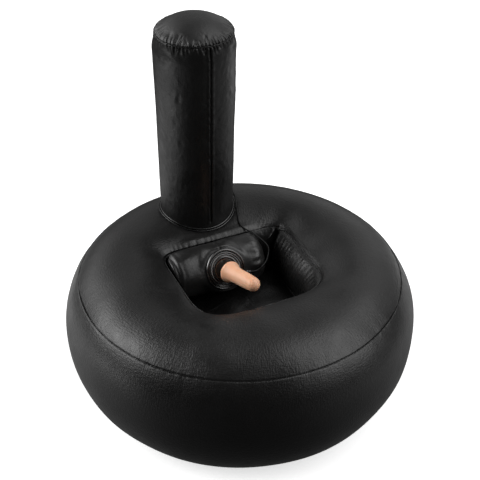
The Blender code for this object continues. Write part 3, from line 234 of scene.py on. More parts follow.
# Cable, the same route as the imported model's
CABLE_RADIUS = 0.00175
CABLE_POINTS = 78
CABLE_ROUTE = (
    (0.0350, 0.0210, 0.2492), (0.0470, 0.0218, 0.2462), (0.0563, 0.0228, 0.2480), (0.0650, 0.0250, 0.2520),
    (0.0790, 0.0350, 0.2545), (0.0895, 0.0470, 0.2620), (0.0935, 0.0535, 0.2705), (0.0925, 0.0610, 0.2780),
    (0.0855, 0.0740, 0.2855), (0.0777, 0.0865, 0.2915), (0.0712, 0.0985, 0.2945), (0.0640, 0.1105, 0.2965),
    (0.0592, 0.1210, 0.2995), (0.0592, 0.1330, 0.3025), (0.0630, 0.1480, 0.3072), (0.0690, 0.1660, 0.3125),
    (0.0745, 0.1830, 0.3160), (0.0838, 0.2060, 0.3185), (0.0880, 0.2300, 0.3200), (0.0900, 0.2520, 0.3195),
    (0.0985, 0.2760, 0.3150), (0.1125, 0.3010, 0.3040), (0.1282, 0.3238, 0.2790), (0.1405, 0.3380, 0.2400),
    (0.1480, 0.3460, 0.1950), (0.1510, 0.3490, 0.1500), (0.1520, 0.3505, 0.1000), (0.1525, 0.3520, 0.0550),
    (0.1515, 0.3545, 0.0240), (0.1460, 0.3590, 0.0080), (0.1330, 0.3650, 0.0022), (0.1130, 0.3700, 0.0020),
    (0.0900, 0.3660, 0.0020), (0.0650, 0.3560, 0.0020), (0.0400, 0.3470, 0.0020), (0.0150, 0.3450, 0.0020),
    (-0.0100, 0.3490, 0.0020), (-0.0350, 0.3500, 0.0024), (-0.0560, 0.3440, 0.0050),
    (-0.0720, 0.3385, 0.0095), (-0.0850, 0.3370, 0.0120),
)


def link(name, data):
    obj = bpy.data.objects.new(name, data)
    bpy.context.scene.collection.objects.link(obj)
    return obj


def camera():
    data = bpy.data.cameras.new("camera")
    data.sensor_width = CAMERA_SENSOR
    data.lens = CAMERA_LENS
    obj = link("camera", data)
    obj.location = CAMERA_PLACE
    obj.rotation_euler = CAMERA_TURN
    bpy.context.scene.camera = obj


def stands_for(obj, body, slot, *nodes):
    """Say what a piece rides on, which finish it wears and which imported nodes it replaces."""
    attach(obj, body)
    obj["finish"] = slot
    if nodes:
        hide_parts(*nodes)


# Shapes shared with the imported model


def ease(x):
    x = np.clip(x, 0.0, 1.0)
    return x * x * (3 - 2 * x)


def lower_side(turn):
    """Seat profile from the floor contact (0) to the equator (a quarter turn)."""
    across = np.sin(turn) ** (2 / LOWER_FULLNESS)
    up = np.abs(np.cos(turn)) ** (2 / LOWER_FULLNESS)
    return CONTACT_RADIUS + (SEAT_RADIUS - CONTACT_RADIUS) * across, EQUATOR_HEIGHT * (1 - up)


def upper_side(turn):
    """Seat profile from the equator (0) to the crest (a quarter turn)."""
    across = np.abs(np.cos(turn)) ** (2 / UPPER_FULLNESS)
    up = np.sin(turn) ** (2 / UPPER_FULLNESS)
    radius = CREST_RADIUS + (SEAT_RADIUS - CREST_RADIUS) * across
    return radius, EQUATOR_HEIGHT + (CREST_HEIGHT - EQUATOR_HEIGHT) * up


def well_outline(angle, side_inset=0.0, front_inset=0.0, back_inset=0.0):
    """Points of the well's rounded outline."""
    across, along = np.cos(angle), np.sin(angle)
    behind = along >= 0
    half_width = WELL_HALF_WIDTH - side_inset
    half_depth = WELL_HALF_DEPTH - np.where(behind, back_inset, front_inset)
    power = np.where(behind, WELL_BACK_SQUARENESS, WELL_FRONT_SQUARENESS)
    reach = (np.abs(across / half_width) ** power + np.abs(along / half_depth) ** power) ** (-1 / power)
    return WELL_CENTRE_X + reach * across, WELL_CENTRE_Y + reach * along


def wall_insets(share):
    bulge = np.sin(np.pi * share)
    side = WALL_SLOPE * share + WALL_BULGE * bulge
    return side, side, -BACK_WALL_GIVE * bulge


def top_point(angle, share):
    """Points of the seat top between the crest (0) and the well's rim (1)."""
    rim_x, rim_y = well_outline(angle)
    crest_x, crest_y = CREST_RADIUS * np.cos(angle), CREST_RADIUS * np.sin(angle)
    height = CREST_HEIGHT - (CREST_HEIGHT - RIM_HEIGHT) * share**1.8
    return crest_x + (rim_x - crest_x) * share, crest_y + (rim_y - crest_y) * share, height + 0 * angle


def seat_top_height(x, y):
    """Height of the seat's upper surface over a floor position outside the well."""
    radius = math.hypot(x, y)
    if radius >= CREST_RADIUS:
        across = (radius - CREST_RADIUS) / (SEAT_RADIUS - CREST_RADIUS)
        turn = math.acos(min(across, 1.0) ** (UPPER_FULLNESS / 2))
        return float(upper_side(turn)[1])
    angle = math.atan2(y, x)
    share = 0.0
    for _ in range(30):
        rim = np.array([float(v) for v in well_outline(angle)])
        crest = CREST_RADIUS * np.array([math.cos(angle), math.sin(angle)])
        way = rim - crest
        share = float(np.clip((np.array([x, y]) - crest) @ way / (way @ way), 0, 1))
        angle = math.atan2(y - WELL_CENTRE_Y * share, x - WELL_CENTRE_X * share)
    return float(top_point(angle, share)[2])


def floor_height(x, y):
    foot_width = WELL_HALF_WIDTH - WALL_SLOPE
    foot_depth = WELL_HALF_DEPTH - WALL_SLOPE / 2
    off_centre = (x / foot_width) ** 2 + ((y - WELL_CENTRE_Y) / foot_depth) ** 2
    return WELL_FLOOR_HEIGHT + FLOOR_CROWN * np.maximum(1 - off_centre, 0.0)


def crowded(angle, share=1.0):
    return angle + CORNER_CROWDING * share * np.sin(4 * angle)


def column_radius(height):
    return COLUMN_FOOT_RADIUS + (COLUMN_HEAD_RADIUS - COLUMN_FOOT_RADIUS) * height / COLUMN_LENGTH


def bolster_dome(x):
    out = max((x - BOLSTER_RIGHT) / BOLSTER_RIGHT_DOME, (BOLSTER_LEFT - x) / BOLSTER_LEFT_DOME, 0.0)
    fullness = DOME_FULLNESS if x > 0 else LEFT_FULLNESS
    return BOLSTER_RADIUS * max(1 - out**fullness, 0.0) ** (1 / fullness)


def faceted_insets(height):
    """How far the side and back walls stand in at each height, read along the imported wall's facets."""
    share = np.clip((RIM_HEIGHT - height) / (RIM_HEIGHT - WELL_FLOOR_HEIGHT), 0.0, 1.0)
    knots = [wall_insets(s) for s in WALL_SHARES]
    side = np.interp(share, WALL_SHARES, [k[0] for k in knots])
    back = np.interp(share, WALL_SHARES, [k[2] for k in knots])
    return side, back


def pressed(x, y, height):
    """Move the bolster's points back inside the well's wall and floor, less a working clearance."""
    side, back = faceted_insets(height)
    clearance = PRESS_CLEARANCE + RIM_CLEARANCE * ease((height - RIM_HEIGHT + 0.010) / 0.007)
    half_width = WELL_HALF_WIDTH - side - clearance
    half_depth = WELL_HALF_DEPTH - back - clearance
    power = WELL_BACK_SQUARENESS
    along = y - WELL_CENTRE_Y
    across = np.minimum(np.abs(x - WELL_CENTRE_X) / half_width, 0.9)
    along = np.minimum(along, half_depth * (1 - across**power) ** (1 / power))
    beside = half_width * (1 - np.clip(np.maximum(along, 0) / half_depth, 0, 0.9) ** power) ** (1 / power)
    x, y = np.clip(x, WELL_CENTRE_X - beside, WELL_CENTRE_X + beside), WELL_CENTRE_Y + along
    return x, y, np.maximum(height, floor_height(x, y) + 0.0009)


def collar_drop(across):
    return COLLAR_WRAP * (BOLSTER_RADIUS - np.sqrt(BOLSTER_RADIUS**2 - across**2))


def bolster_ring(x, angles):
    """A ring of the bolster's skin: its free shape, drawn up to the collar and pressed by the well."""
    radius = bolster_dome(x)
    outward = (-math.cos(COLLAR_LIFT), math.sin(COLLAR_LIFT))
    upward = (math.sin(COLLAR_LIFT), math.cos(COLLAR_LIFT))
    offset_y, offset_z = radius * np.cos(angles), radius * np.sin(angles)
    across = offset_y * upward[0] + offset_z * upward[1]
    out = offset_y * outward[0] + offset_z * outward[1]
    spread = np.hypot(x - COLLAR_X, across)
    seat = BOLSTER_RADIUS - collar_drop(np.minimum(np.abs(across), COLLAR_RADIUS)) - 0.0009
    hold = ease((COLLAR_RADIUS + 0.017 - spread) / 0.012)
    out = np.where(out > 0, out + (seat - out) * hold, out)
    y = BOLSTER_Y + across * upward[0] + out * outward[0]
    z = BOLSTER_Z + across * upward[1] + out * outward[1]
    return np.stack(pressed(x + 0 * angles, y, z), -1)


# Mesh making


def turns(count):
    return np.arange(count) * 2 * np.pi / count


def revolved(radius, height, around):
    """Rings round Z, from a radius and a height for each ring or for each of its points."""
    radius, height = (v[:, None] if v.ndim == 1 else v for v in (np.asarray(radius), np.asarray(height)))
    return np.stack(np.broadcast_arrays(radius * np.cos(around), radius * np.sin(around), height), -1)


def ripples(seed, u, v, size, count=9, span=None):
    """A smooth uneven field between about -1 and 1, from waves of random direction round one size.

    With a span, the field meets itself where u has run that far.
    """
    random = np.random.default_rng(seed)
    total = 0
    for _ in range(count):
        way = random.uniform(0, 2 * np.pi)
        wave = 2 * np.pi / (size * random.uniform(0.7, 1.5))
        start = random.uniform(0, 2 * np.pi)
        across = wave * np.cos(way)
        if span is not None:
            across = np.round(across * span / (2 * np.pi)) * 2 * np.pi / span
        total = total + np.sin(across * u + wave * np.sin(way) * v + start)
    return total / (0.72 * count**0.5 * 1.9)


def normals_of(rings):
    """Outward normals of rings that run counter-clockwise and climb the outer side."""
    round_way = np.roll(rings, -1, axis=1) - np.roll(rings, 1, axis=1)
    up_way = np.gradient(rings, axis=0)
    normal = np.cross(round_way, up_way)
    return normal / np.maximum(np.linalg.norm(normal, axis=-1, keepdims=True), 1e-12)


def pile(parts):
    """Join grids of rings, each of which starts at the last ring of the one before."""
    return np.concatenate([parts[0]] + [part[1:] for part in parts[1:]])


def skin(name, rings, maps, closed=False):
    """A mesh of rings joined by faces, filled at both ends unless it is closed on itself.

    maps has for each patch of the film the metres run along and up it, for every ring and for every
    point round it plus one; they become the layer named run.
    """
    rows, columns = rings.shape[:2]
    index = np.arange(rows * columns).reshape(rows, columns)
    following = np.roll(index, -1, axis=1)
    quads = np.stack([index[:-1], following[:-1], following[1:], index[1:]], -1).reshape(-1, 4)
    faces = quads.tolist()
    run = []
    for along, up in maps:
        corner = np.stack([along, up], -1)
        here = np.stack([corner[:-1, :-1], corner[:-1, 1:], corner[1:, 1:], corner[1:, :-1]], 2)
        run.append(here.reshape(-1, 2))
    if not closed:
        faces += [index[0][::-1].tolist(), index[-1].tolist()]
        run += [rings[0][::-1, :2], rings[-1][:, :2]]
    mesh = bpy.data.meshes.new(name)
    mesh.from_pydata(rings.reshape(-1, 3).tolist(), [], faces)
    layer = mesh.uv_layers.new(name="run")
    layer.data.foreach_set("uv", np.concatenate(run).astype(np.float32).ravel())
    mesh.shade_smooth()
    return link(name, mesh)


def run_of(rings):
    """Metres run round and along a grid of rings."""
    steps = np.linalg.norm(np.diff(rings, axis=0), axis=-1).mean(axis=1)
    up = np.concatenate([[0.0], np.cumsum(steps)])
    around = np.linalg.norm(np.roll(rings, -1, axis=1) - rings, axis=-1).mean(axis=0)
    along = np.concatenate([[0.0], np.cumsum(around)])
    return np.tile(along, (len(rings), 1)), np.tile(up[:, None], (1, rings.shape[1] + 1))


def closed_skin(name, rings):
    """A skin whose last ring joins its first."""
    rings = np.concatenate([rings, rings[:1]])
    obj = skin(name, rings, [run_of(rings)], closed=True)
    bm = bmesh.new()
    bm.from_mesh(obj.data)
    bmesh.ops.remove_doubles(bm, verts=bm.verts, dist=1e-6)
    bmesh.ops.recalc_face_normals(bm, faces=bm.faces)
    bm.to_mesh(obj.data)
    bm.free()
    obj.data.shade_smooth()
    return obj


def bead(name, path, radius):
    """A round bead along a closed and nearly level path."""
    path = np.asarray(path, float)
    ahead = np.roll(path, -1, axis=0) - np.roll(path, 1, axis=0)
    ahead /= np.linalg.norm(ahead, axis=1, keepdims=True)
    out = np.cross(ahead, [0.0, 0.0, 1.0])
    out /= np.linalg.norm(out, axis=1, keepdims=True)
    up = np.cross(out, ahead)
    around = turns(10)[:, None]
    circle = out[:, None] * np.cos(around) + up[:, None] * np.sin(around)
    return closed_skin(name, path[:, None] + radius * circle)


def smooth_line(points, steps):
    """A smooth line through points, with each stretch between two of them cut into steps."""
    points = np.asarray(points, float)
    padded = np.concatenate([[2 * points[0] - points[1]], points, [2 * points[-1] - points[-2]]])
    fine = []
    for a, b, c, d in zip(padded, padded[1:], padded[2:], padded[3:]):
        square, cube = 2 * a - 5 * b + 4 * c - d, 3 * b - a - 3 * c + d
        for t in np.arange(steps) / steps:
            fine.append(b + 0.5 * ((c - a) * t + square * t**2 + cube * t**3))
    fine.append(points[-1])
    return np.array(fine)


def smooth_route(route, count):
    """Evenly spaced points on the smooth curve through the route's points, and its length."""
    fine = smooth_line([Vector(point) for point in route], 16)
    run = np.concatenate([[0.0], np.cumsum(np.linalg.norm(np.diff(fine, axis=0), axis=1))])
    spaced = np.linspace(0.0, run[-1], count)
    return np.stack([np.interp(spaced, run, fine[:, i]) for i in range(3)], -1), float(run[-1])


def cable():
    route, length = smooth_route(CABLE_ROUTE, CABLE_POINTS * 3)
    curve = bpy.data.curves.new("cable", "CURVE")
    curve.dimensions = "3D"
    curve.bevel_depth = 1.0
    curve.bevel_resolution = 4
    curve.use_fill_caps = True
    spline = curve.splines.new("POLY")
    spline.points.add(len(route) - 1)
    for point, at in zip(spline.points, route):
        point.co = (*at, 1.0)
        point.radius = CABLE_RADIUS
    obj = link("cable", curve)
    stands_for(obj, "seat", "cable", "control_cable")
    return obj


def well_ring(around, insets, height):
    return np.stack([*well_outline(crowded(around), *insets), 0 * around + height], -1)


def seat_rings():
    """The seat's patches of rings, from the floor to the middle of the well's floor."""
    around = turns(SEAT_COLUMNS)
    side = np.concatenate([np.linspace(0, 0.69, 16), np.linspace(0.70, SEAM_TURN, 12)])
    shoulder = np.concatenate([np.linspace(SEAM_TURN, 0.87, 12), np.linspace(0.88, np.pi / 2, 22)])
    edge, foot = RIM_HEIGHT - RIM_EDGE, WELL_FLOOR_HEIGHT + FOOT_LIFT
    top = [np.stack(top_point(crowded(around, share), share), -1) for share in np.linspace(0, 1, 56) ** 0.85]
    top.append(well_ring(around, [STAND_OFF] * 3, edge))
    wall = []
    for share in np.linspace(0, 1, 52):
        insets = [inset + STAND_OFF for inset in wall_insets(share)]
        wall.append(well_ring(around, insets, edge + (foot - edge) * share))
    floor = [wall[-1]]
    x, y = wall[-1][:, 0], wall[-1][:, 1]
    for share in np.linspace(0.995, 0.02, 40):
        fx, fy = WELL_CENTRE_X + (x - WELL_CENTRE_X) * share, WELL_CENTRE_Y + (y - WELL_CENTRE_Y) * share
        floor.append(np.stack([fx, fy, floor_height(fx, fy)], -1))
    return [
        revolved(*lower_side(np.linspace(0, np.pi / 2, 44)), around),
        revolved(*upper_side(side), around),
        revolved(*upper_side(shoulder), around),
        np.array(top),
        np.array(wall),
        np.array(floor),
    ]


def lengths_up(rings):
    steps = np.linalg.norm(np.diff(rings, axis=0), axis=-1)
    return np.concatenate([np.zeros((1, rings.shape[1])), np.cumsum(steps, axis=0)])


def near(distance, width):
    return np.exp(-((distance / width) ** 2))


def within(value, start, end, softness):
    """1 between start and end, easing to 0 over a softness inside each."""
    return ease((value - start) / softness) * ease((end - value) / softness)


def seam_marks(around, seam, turn):
    """The outer seam drawn in, with puckers in patches and slow pulls beside it."""
    patch = 0.2 + 0.8 * ripples(3, around, 0 * around, PUCKER_PATCH, span=turn) ** 2
    puckers = ripples(5, around, 0.1 * seam, PUCKER_WAVE, span=turn) * np.exp(-np.abs(seam) / PUCKER_REACH)
    pulls = ripples(7, around, 0.25 * seam, PULL_WAVE, span=turn) * np.exp(-np.abs(seam) / PULL_REACH)
    return PUCKER_HEIGHT * patch * puckers + PULL_HEIGHT * pulls - SEAM_DEPTH * near(seam, SEAM_WIDTH)


def foot_pulls(x, y, away):
    """Short pulls in the seat's top that run out from the column's foot."""
    about = np.arctan2(y - COLUMN_Y, x - COLUMN_X) * COLUMN_FOOT_RADIUS
    pulls = ripples(13, about, 0 * about, FOOT_PULL_WAVE, span=2 * np.pi * COLUMN_FOOT_RADIUS)
    pulls = pulls * np.exp(-np.maximum(away, 0) / FOOT_PULL_REACH)
    return np.where(away > -0.004, FOOT_PULL_HEIGHT * pulls, 0.0)


def rim_marks(x, y, around, rim, turn):
    """Small puckers all round the well's rim, and tucks in a swollen shelf behind the bolster."""
    puckers = ripples(17, around, 0 * rim, LIP_PUCKER_WAVE, span=turn) * np.exp(rim / LIP_PUCKER_REACH)
    between = np.abs(np.sin(np.pi * x / REAR_TUCK_SPACING + 1.5 * np.sin(x / 0.017)))
    tucks = (1 - between) ** 2 * ease((x + 0.125) / 0.02) * ease((0.02 - x) / 0.05)
    shelf = near(rim + SHELF_PLACE, SHELF_WIDTH) * ease((0.10 - np.abs(x)) / 0.04)
    behind = SHELF_HEIGHT * shelf - REAR_TUCK_DEPTH * tucks * np.exp(rim / REAR_TUCK_REACH)
    return LIP_PUCKER_HEIGHT * puckers + np.where(y > BEHIND_Y, behind, 0.0)


def lip_marks(x, y, rim):
    """The lip of the well rounded over, least of all behind the bolster."""
    behind = np.where(y > BEHIND_Y, ease((0.11 - np.abs(x)) / 0.03), 0.0)
    return -LIP_DEPTH * (1 - LIP_KEPT_BEHIND * behind) * near(rim, LIP_WIDTH)


def wall_marks(x, y, around, rim, foot, turn):
    """A crease down each back corner, film slumped inwards on the right, and upright streaks."""
    squared = np.arctan2((y - WELL_CENTRE_Y) / WELL_HALF_DEPTH, (x - WELL_CENTRE_X) / WELL_HALF_WIDTH)
    from_corner = np.abs(np.abs(squared - np.pi / 2) - np.pi / 4)
    crease = near(from_corner, CORNER_CREASE_TURN) * ease((rim - 0.006) / 0.012) * ease(-foot / 0.02)
    depth = rim / WALL_RUN
    slump = np.sin(np.pi * np.clip(depth, 0, 1)) ** 0.75 * ease(from_corner / SLUMP_TURN)
    behind_end = (squared > np.pi / 4) & (squared < np.pi / 2)
    right_side = (squared <= np.pi / 4) & (squared > -np.pi / 2)
    out = np.where(behind_end, END_SLUMP * slump * ease((x - 0.060) / 0.022), 0.0)
    out += np.where(right_side, SIDE_SLUMP * slump * ease((squared + 1.0) / 0.4), 0.0)
    span = 1.3 * turn
    streaks = ripples(19, around * 1.3, 0.16 * foot, STREAK_WAVE, span=span)
    streaks = streaks + 0.6 * ripples(23, around * 1.3, 0.1 * foot, FINE_STREAK_WAVE, span=span)
    out += STREAK_HEIGHT * streaks * np.sin(np.pi * np.clip(depth, 0.04, 0.98)) ** 0.5
    return out - CORNER_CREASE_DEPTH * crease


def floor_marks(x, y):
    folds = 0
    for across_x, across_y, offset, width, axis, start, end in FLOOR_FOLDS:
        line = near(across_x * x + across_y * y + offset, width)
        folds = folds + line * within((x, y)[axis], start, end, FOLD_SOFTNESS)
    return FOLD_HEIGHT * folds + DIMPLE_HEIGHT * ripples(29, x, y, DIMPLE_WAVE)


def seat_relief(rings, ends):
    """How far each point of the seat's film stands out: seams drawn in, puckers, wrinkles and creases."""
    climb = lengths_up(rings)
    x, y, z = rings[..., 0], rings[..., 1], rings[..., 2]
    around, turn = np.arctan2(y, x) * SEAT_RADIUS, 2 * np.pi * SEAT_RADIUS
    row = np.arange(len(rings))[:, None] + 0 * x
    seam, rim, foot = (climb - climb[ends[name]] for name in ("seam", "rim", "foot"))
    on_top = (row >= ends["crest"]) & (row <= ends["rim"])
    on_wall = (row > ends["rim"]) & (row <= ends["foot"])
    from_column = np.hypot(x - COLUMN_X, y - COLUMN_Y) - COLUMN_FOOT_RADIUS

    swell = SWELL_HEIGHT * ripples(11, around, climb, SWELL_WAVE, span=turn)
    out = seam_marks(around, seam, turn)
    out += np.where(row < ends["rim"], swell * ease((z - 0.01) / 0.05) * ease(-rim / 0.03), 0.0)
    out -= np.where(row > ends["seam"], FOOT_DEPTH * near(from_column, FOOT_WIDTH), 0.0)
    out += np.where(on_top, foot_pulls(x, y, from_column) + rim_marks(x, y, around, rim, turn), 0.0)
    out += np.where(on_top | on_wall, lip_marks(x, y, rim), 0.0)
    out += np.where(on_wall, wall_marks(x, y, around, rim, foot, turn), 0.0)
    return out + np.where(row > ends["foot"], floor_marks(x, y), 0.0)


def seat():
    patches = seat_rings()
    last_rows = np.cumsum([len(patch) - 1 for patch in patches])
    rings = pile(patches)
    relief = seat_relief(rings, dict(zip(("equator", "seam", "crest", "rim", "foot", "middle"), last_rows)))
    rings = rings + normals_of(rings) * relief[..., None]
    obj = skin("seat_skin", rings, [run_of(patch) for patch in patches])
    stands_for(
        obj, "seat", "seat_film",
        "seat_top_panel", "seat_side_panel", "well_wall", "well_floor", "seat_base_panel",
    )


def seam_strip():
    """The trimmed edge of the weld round the seat: a little wavy, with spots where it melted."""
    around = turns(720)
    seam = np.array(upper_side(SEAM_TURN))
    along = np.array(upper_side(SEAM_TURN + 0.01)) - np.array(upper_side(SEAM_TURN - 0.01))
    along /= np.linalg.norm(along)
    out = np.array([along[1], -along[0]])
    run, turn = around * SEAT_RADIUS, 2 * np.pi * SEAT_RADIUS
    wave = ripples(31, run, 0 * run, 0.010, span=turn)
    edge = ripples(37, run, 0 * run, 0.018, span=turn)
    spots = 0
    for middle, width in MELTED_STRETCHES:
        spots = spots + near((np.degrees(around) - middle + 180) % 360 - 180, width)
    spots = spots * np.maximum(np.sin(2 * np.pi * run / SPOT_SPACING + 2 * edge), 0) ** 3
    way = -turns(12)[:, None]
    reach = -0.0008 + (0.0014 + 0.0003 * edge + 0.0012 * spots) * np.cos(way)
    side = (0.00040 + 0.0011 * spots) * np.sin(way) + 0.0003 * wave * (0.4 + np.cos(way))
    radius, height = (seam[i] + out[i] * reach + along[i] * side for i in (0, 1))
    stands_for(closed_skin("outer_seam", revolved(radius, height, around)), "seat", "weld", "outer_seam_weld")


def rim_bead():
    """A bead a little under the well's rim."""
    around = turns(480)
    wave = ripples(41, around * 0.13, 0 * around, 0.012, span=0.26 * np.pi)
    path = well_ring(around, [RIM_BEAD_INSET] * 3, RIM_HEIGHT - RIM_BEAD_DROP + 0.0003 * wave)
    stands_for(bead("rim_seam", path, RIM_BEAD_RADIUS), "seat", "weld", "well_rim_weld")


def column_frame():
    foot = Matrix.Translation((COLUMN_X, COLUMN_Y, COLUMN_FOOT_HEIGHT))
    return foot @ Matrix.Rotation(COLUMN_LEAN, 4, "X")


def moved(rings, placing):
    turn = np.array(placing.to_3x3())
    return rings @ turn.T + np.array(placing.translation)


def gathers():
    """Angle, width, depth, reach up the cap and down the wall, and lean of each gather at the cap's seam."""
    random = np.random.default_rng(43)
    ranges = (GATHER_WIDTH, GATHER_DEPTH, GATHER_UP, GATHER_DOWN, GATHER_LEAN)
    places, angle = [], 0.0
    while angle < 2 * np.pi - 0.05:
        places.append((angle, *[random.uniform(*limits) for limits in ranges]))
        angle += random.uniform(*GATHER_STEP)
    return places


def column_relief(around, climb, from_seam, edge):
    """How far the column's film stands out: gathers at the cap's seam, the upright seam and soft creases."""
    turn = 2 * np.pi * edge
    run = around * edge + 0 * climb
    out = np.zeros(from_seam.shape)
    for angle, width, depth, up, down, lean in gathers():
        gap = (around - angle + np.pi) % (2 * np.pi) - np.pi
        fade = np.clip(1 - np.abs(from_seam) / np.where(from_seam > 0, up, down), 0, 1) ** 1.1
        widening = width * (0.7 + np.abs(from_seam) / GATHER_SPREAD)
        out -= depth * near(gap * edge - lean * from_seam, widening) * fade
    for height, place, width in CAP_RIDGES:
        out += height * near(from_seam - place, width)
    skirt = ripples(45, run, 0.8 * climb, SKIRT_WAVE, span=turn) * near(from_seam - SKIRT_PLACE, 0.018)
    out += np.where(from_seam < 0, SKIRT_HEIGHT * skirt, 0.0)

    gap = np.abs((around + np.pi / 2 + np.pi) % (2 * np.pi) - np.pi) * edge
    below = ease((-0.002 - from_seam) / 0.004) * ease((climb - 0.018) / 0.006)
    stitch = ripples(49, climb, 0 * climb, STITCH_WAVE) * near(gap - STITCH_PLACE, STITCH_WIDTH)
    welt = WELT_HEIGHT * near(gap - WELT_PLACE, WELT_WIDTH)
    out += below * (STITCH_HEIGHT * stitch + welt - UPRIGHT_SEAM_DEPTH * near(gap, UPRIGHT_SEAM_WIDTH))

    low, wall = ease(climb / 0.04), -from_seam
    slow = ripples(47, run, climb, SLOW_WAVE_LENGTH, span=turn)
    out += SLOW_WAVE_HEIGHT * slow * ease(wall / 0.03) * low
    crinkle = ripples(51, run, 0.8 * climb, CRINKLE_WAVE, span=turn)
    crinkle = crinkle * ripples(52, run, climb, CRINKLE_PATCH, span=turn)
    return out + CRINKLE_HEIGHT * crinkle * ease(wall / 0.01) * low


def column():
    around = turns(COLUMN_COLUMNS)
    around = around - SEAM_CROWDING * np.cos(around)
    heights = np.concatenate([np.linspace(-COLUMN_SINK, 0.36, 130), np.linspace(0.362, COLUMN_LENGTH, 56)])
    radii = column_radius(heights) - CAP_TUCK * ease((heights - COLUMN_LENGTH + TUCK_RUN) / TUCK_RUN)
    edge = radii[-1]
    shares = np.maximum(np.cos(np.linspace(0, np.pi / 2, 56)[:-1]) ** 0.9, 0.01)
    dome = COLUMN_LENGTH + COLUMN_CROWN * (1 - shares**CROWN_FULLNESS) + 0.0010 * ease((1 - shares) / 0.02)
    radii, climbs = np.concatenate([radii, edge * shares[1:]]), np.concatenate([heights, dome[1:]])
    rings = revolved(radii, climbs, around)
    seam_row = len(heights) - 1
    climb = lengths_up(rings)
    out = column_relief(around, climb, climb - climb[seam_row], edge)
    rings = moved(rings + normals_of(rings) * out[..., None], column_frame())
    obj = skin("column_skin", rings, [run_of(rings[: seam_row + 1]), run_of(rings[seam_row:])])
    stands_for(obj, "seat", "column_film", "column_wall", "column_cap", "column_base_panel")


def cap_strip():
    """The thin trimmed edge of the weld between the cap and the column's wall."""
    around = turns(480)
    edge = column_radius(COLUMN_LENGTH) - CAP_TUCK + STAND_OFF
    wave = ripples(53, around * edge, 0 * around, 0.013, span=2 * np.pi * edge)
    way = -turns(10)[:, None]
    radius = edge - 0.0012 + (0.0012 + 0.0003 * wave) * np.cos(way)
    height = COLUMN_LENGTH + 0.0007 + 0.00045 * np.sin(way) + 0.0006 * wave
    obj = closed_skin("cap_seam", moved(revolved(radius, height, around), column_frame()))
    stands_for(obj, "seat", "weld", "column_cap_weld")


def foot_bead(name, out, up, radius, *nodes):
    """A glossy bead that follows the seat's top round the column's foot."""
    path = []
    for angle in turns(240):
        reach = COLUMN_FOOT_RADIUS + out
        x, y = COLUMN_X + reach * math.cos(angle), COLUMN_Y + reach * math.sin(angle)
        height = seat_top_height(x, y) + up
        path.append((x, y - math.tan(COLUMN_LEAN) * (height - COLUMN_FOOT_HEIGHT), height))
    stands_for(bead(name, path, radius), "seat", "weld", *nodes)


def bolster_relief(x, turn, right_tip):
    """How far the bolster's film stands out: folds on its left, creases on its right, and its weld."""
    upper = ease((np.sin(turn) + 0.5) / 0.6)
    run, span = turn * BOLSTER_RADIUS, 2 * np.pi * BOLSTER_RADIUS
    folds = np.sin(2 * np.pi * (x + 0.002 * np.sin(2 * turn)) / LEFT_FOLD_SPACING)
    out = LEFT_FOLD_HEIGHT * folds * upper * near(x - LEFT_FOLD_PLACE, LEFT_FOLD_REACH)
    right = ease((x - RIGHT_CREASE_START) / 0.02) * ease((right_tip - x) / 0.010)
    out += RIGHT_CREASE_HEIGHT * ripples(59, run, 0.2 * x, RIGHT_CREASE_WAVE, span=span) * right
    out += SLACK_HEIGHT * ripples(61, run, x, SLACK_WAVE, span=span)
    out -= BOLSTER_WELD_DEPTH * near(x - COLLAR_X + 0.001, 0.0014) * upper
    return np.minimum(out, HIGHEST_MARK) - BOLSTER_INSET


def bolster():
    """The bolster's skin; its rings turn about X, with 0 towards the column and a quarter turn upwards."""
    around = turns(BOLSTER_COLUMNS)
    left_tip = BOLSTER_LEFT - 0.985 * BOLSTER_LEFT_DOME
    right_tip = BOLSTER_RIGHT + 0.985 * BOLSTER_RIGHT_DOME
    middle, half = (left_tip + right_tip) / 2, (right_tip - left_tip) / 2
    stations = middle - half * np.cos(np.linspace(0, np.pi, 132))
    rings = np.array([bolster_ring(x, around) for x in stations])
    outward = normals_of(rings)
    inside = rings.mean(axis=1, keepdims=True)
    outward = outward * np.sign(((rings - inside) * outward).sum(-1, keepdims=True) + 1e-9)
    relief = bolster_relief(rings[..., 0], around + 0 * rings[..., 0], right_tip)
    rings[..., 0] -= LEFT_SHIFT * ease((LEFT_SHIFT_START - rings[..., 0]) / LEFT_SHIFT_RUN)
    rings = rings + outward * relief[..., None]
    rings = np.stack(pressed(rings[..., 0], rings[..., 1], rings[..., 2]), -1)
    obj = skin("bolster_skin", rings, [run_of(rings)])
    stands_for(obj, "seat", "bolster_film", "bolster_wall", "bolster_end_left", "bolster_end_right")


def collar_frame():
    place = (
        COLLAR_X,
        BOLSTER_Y - BOLSTER_RADIUS * math.cos(COLLAR_LIFT),
        BOLSTER_Z + BOLSTER_RADIUS * math.sin(COLLAR_LIFT),
    )
    return Matrix.Translation(place) @ Matrix.Rotation(math.pi / 2 - COLLAR_LIFT, 4, "X")


def massager_frame():
    turn = Matrix.Rotation(MASSAGER_YAW, 4, "Z") @ Matrix.Rotation(math.pi / 2 - MASSAGER_RAISE, 4, "X")
    return Matrix.Translation(collar_frame().translation) @ turn


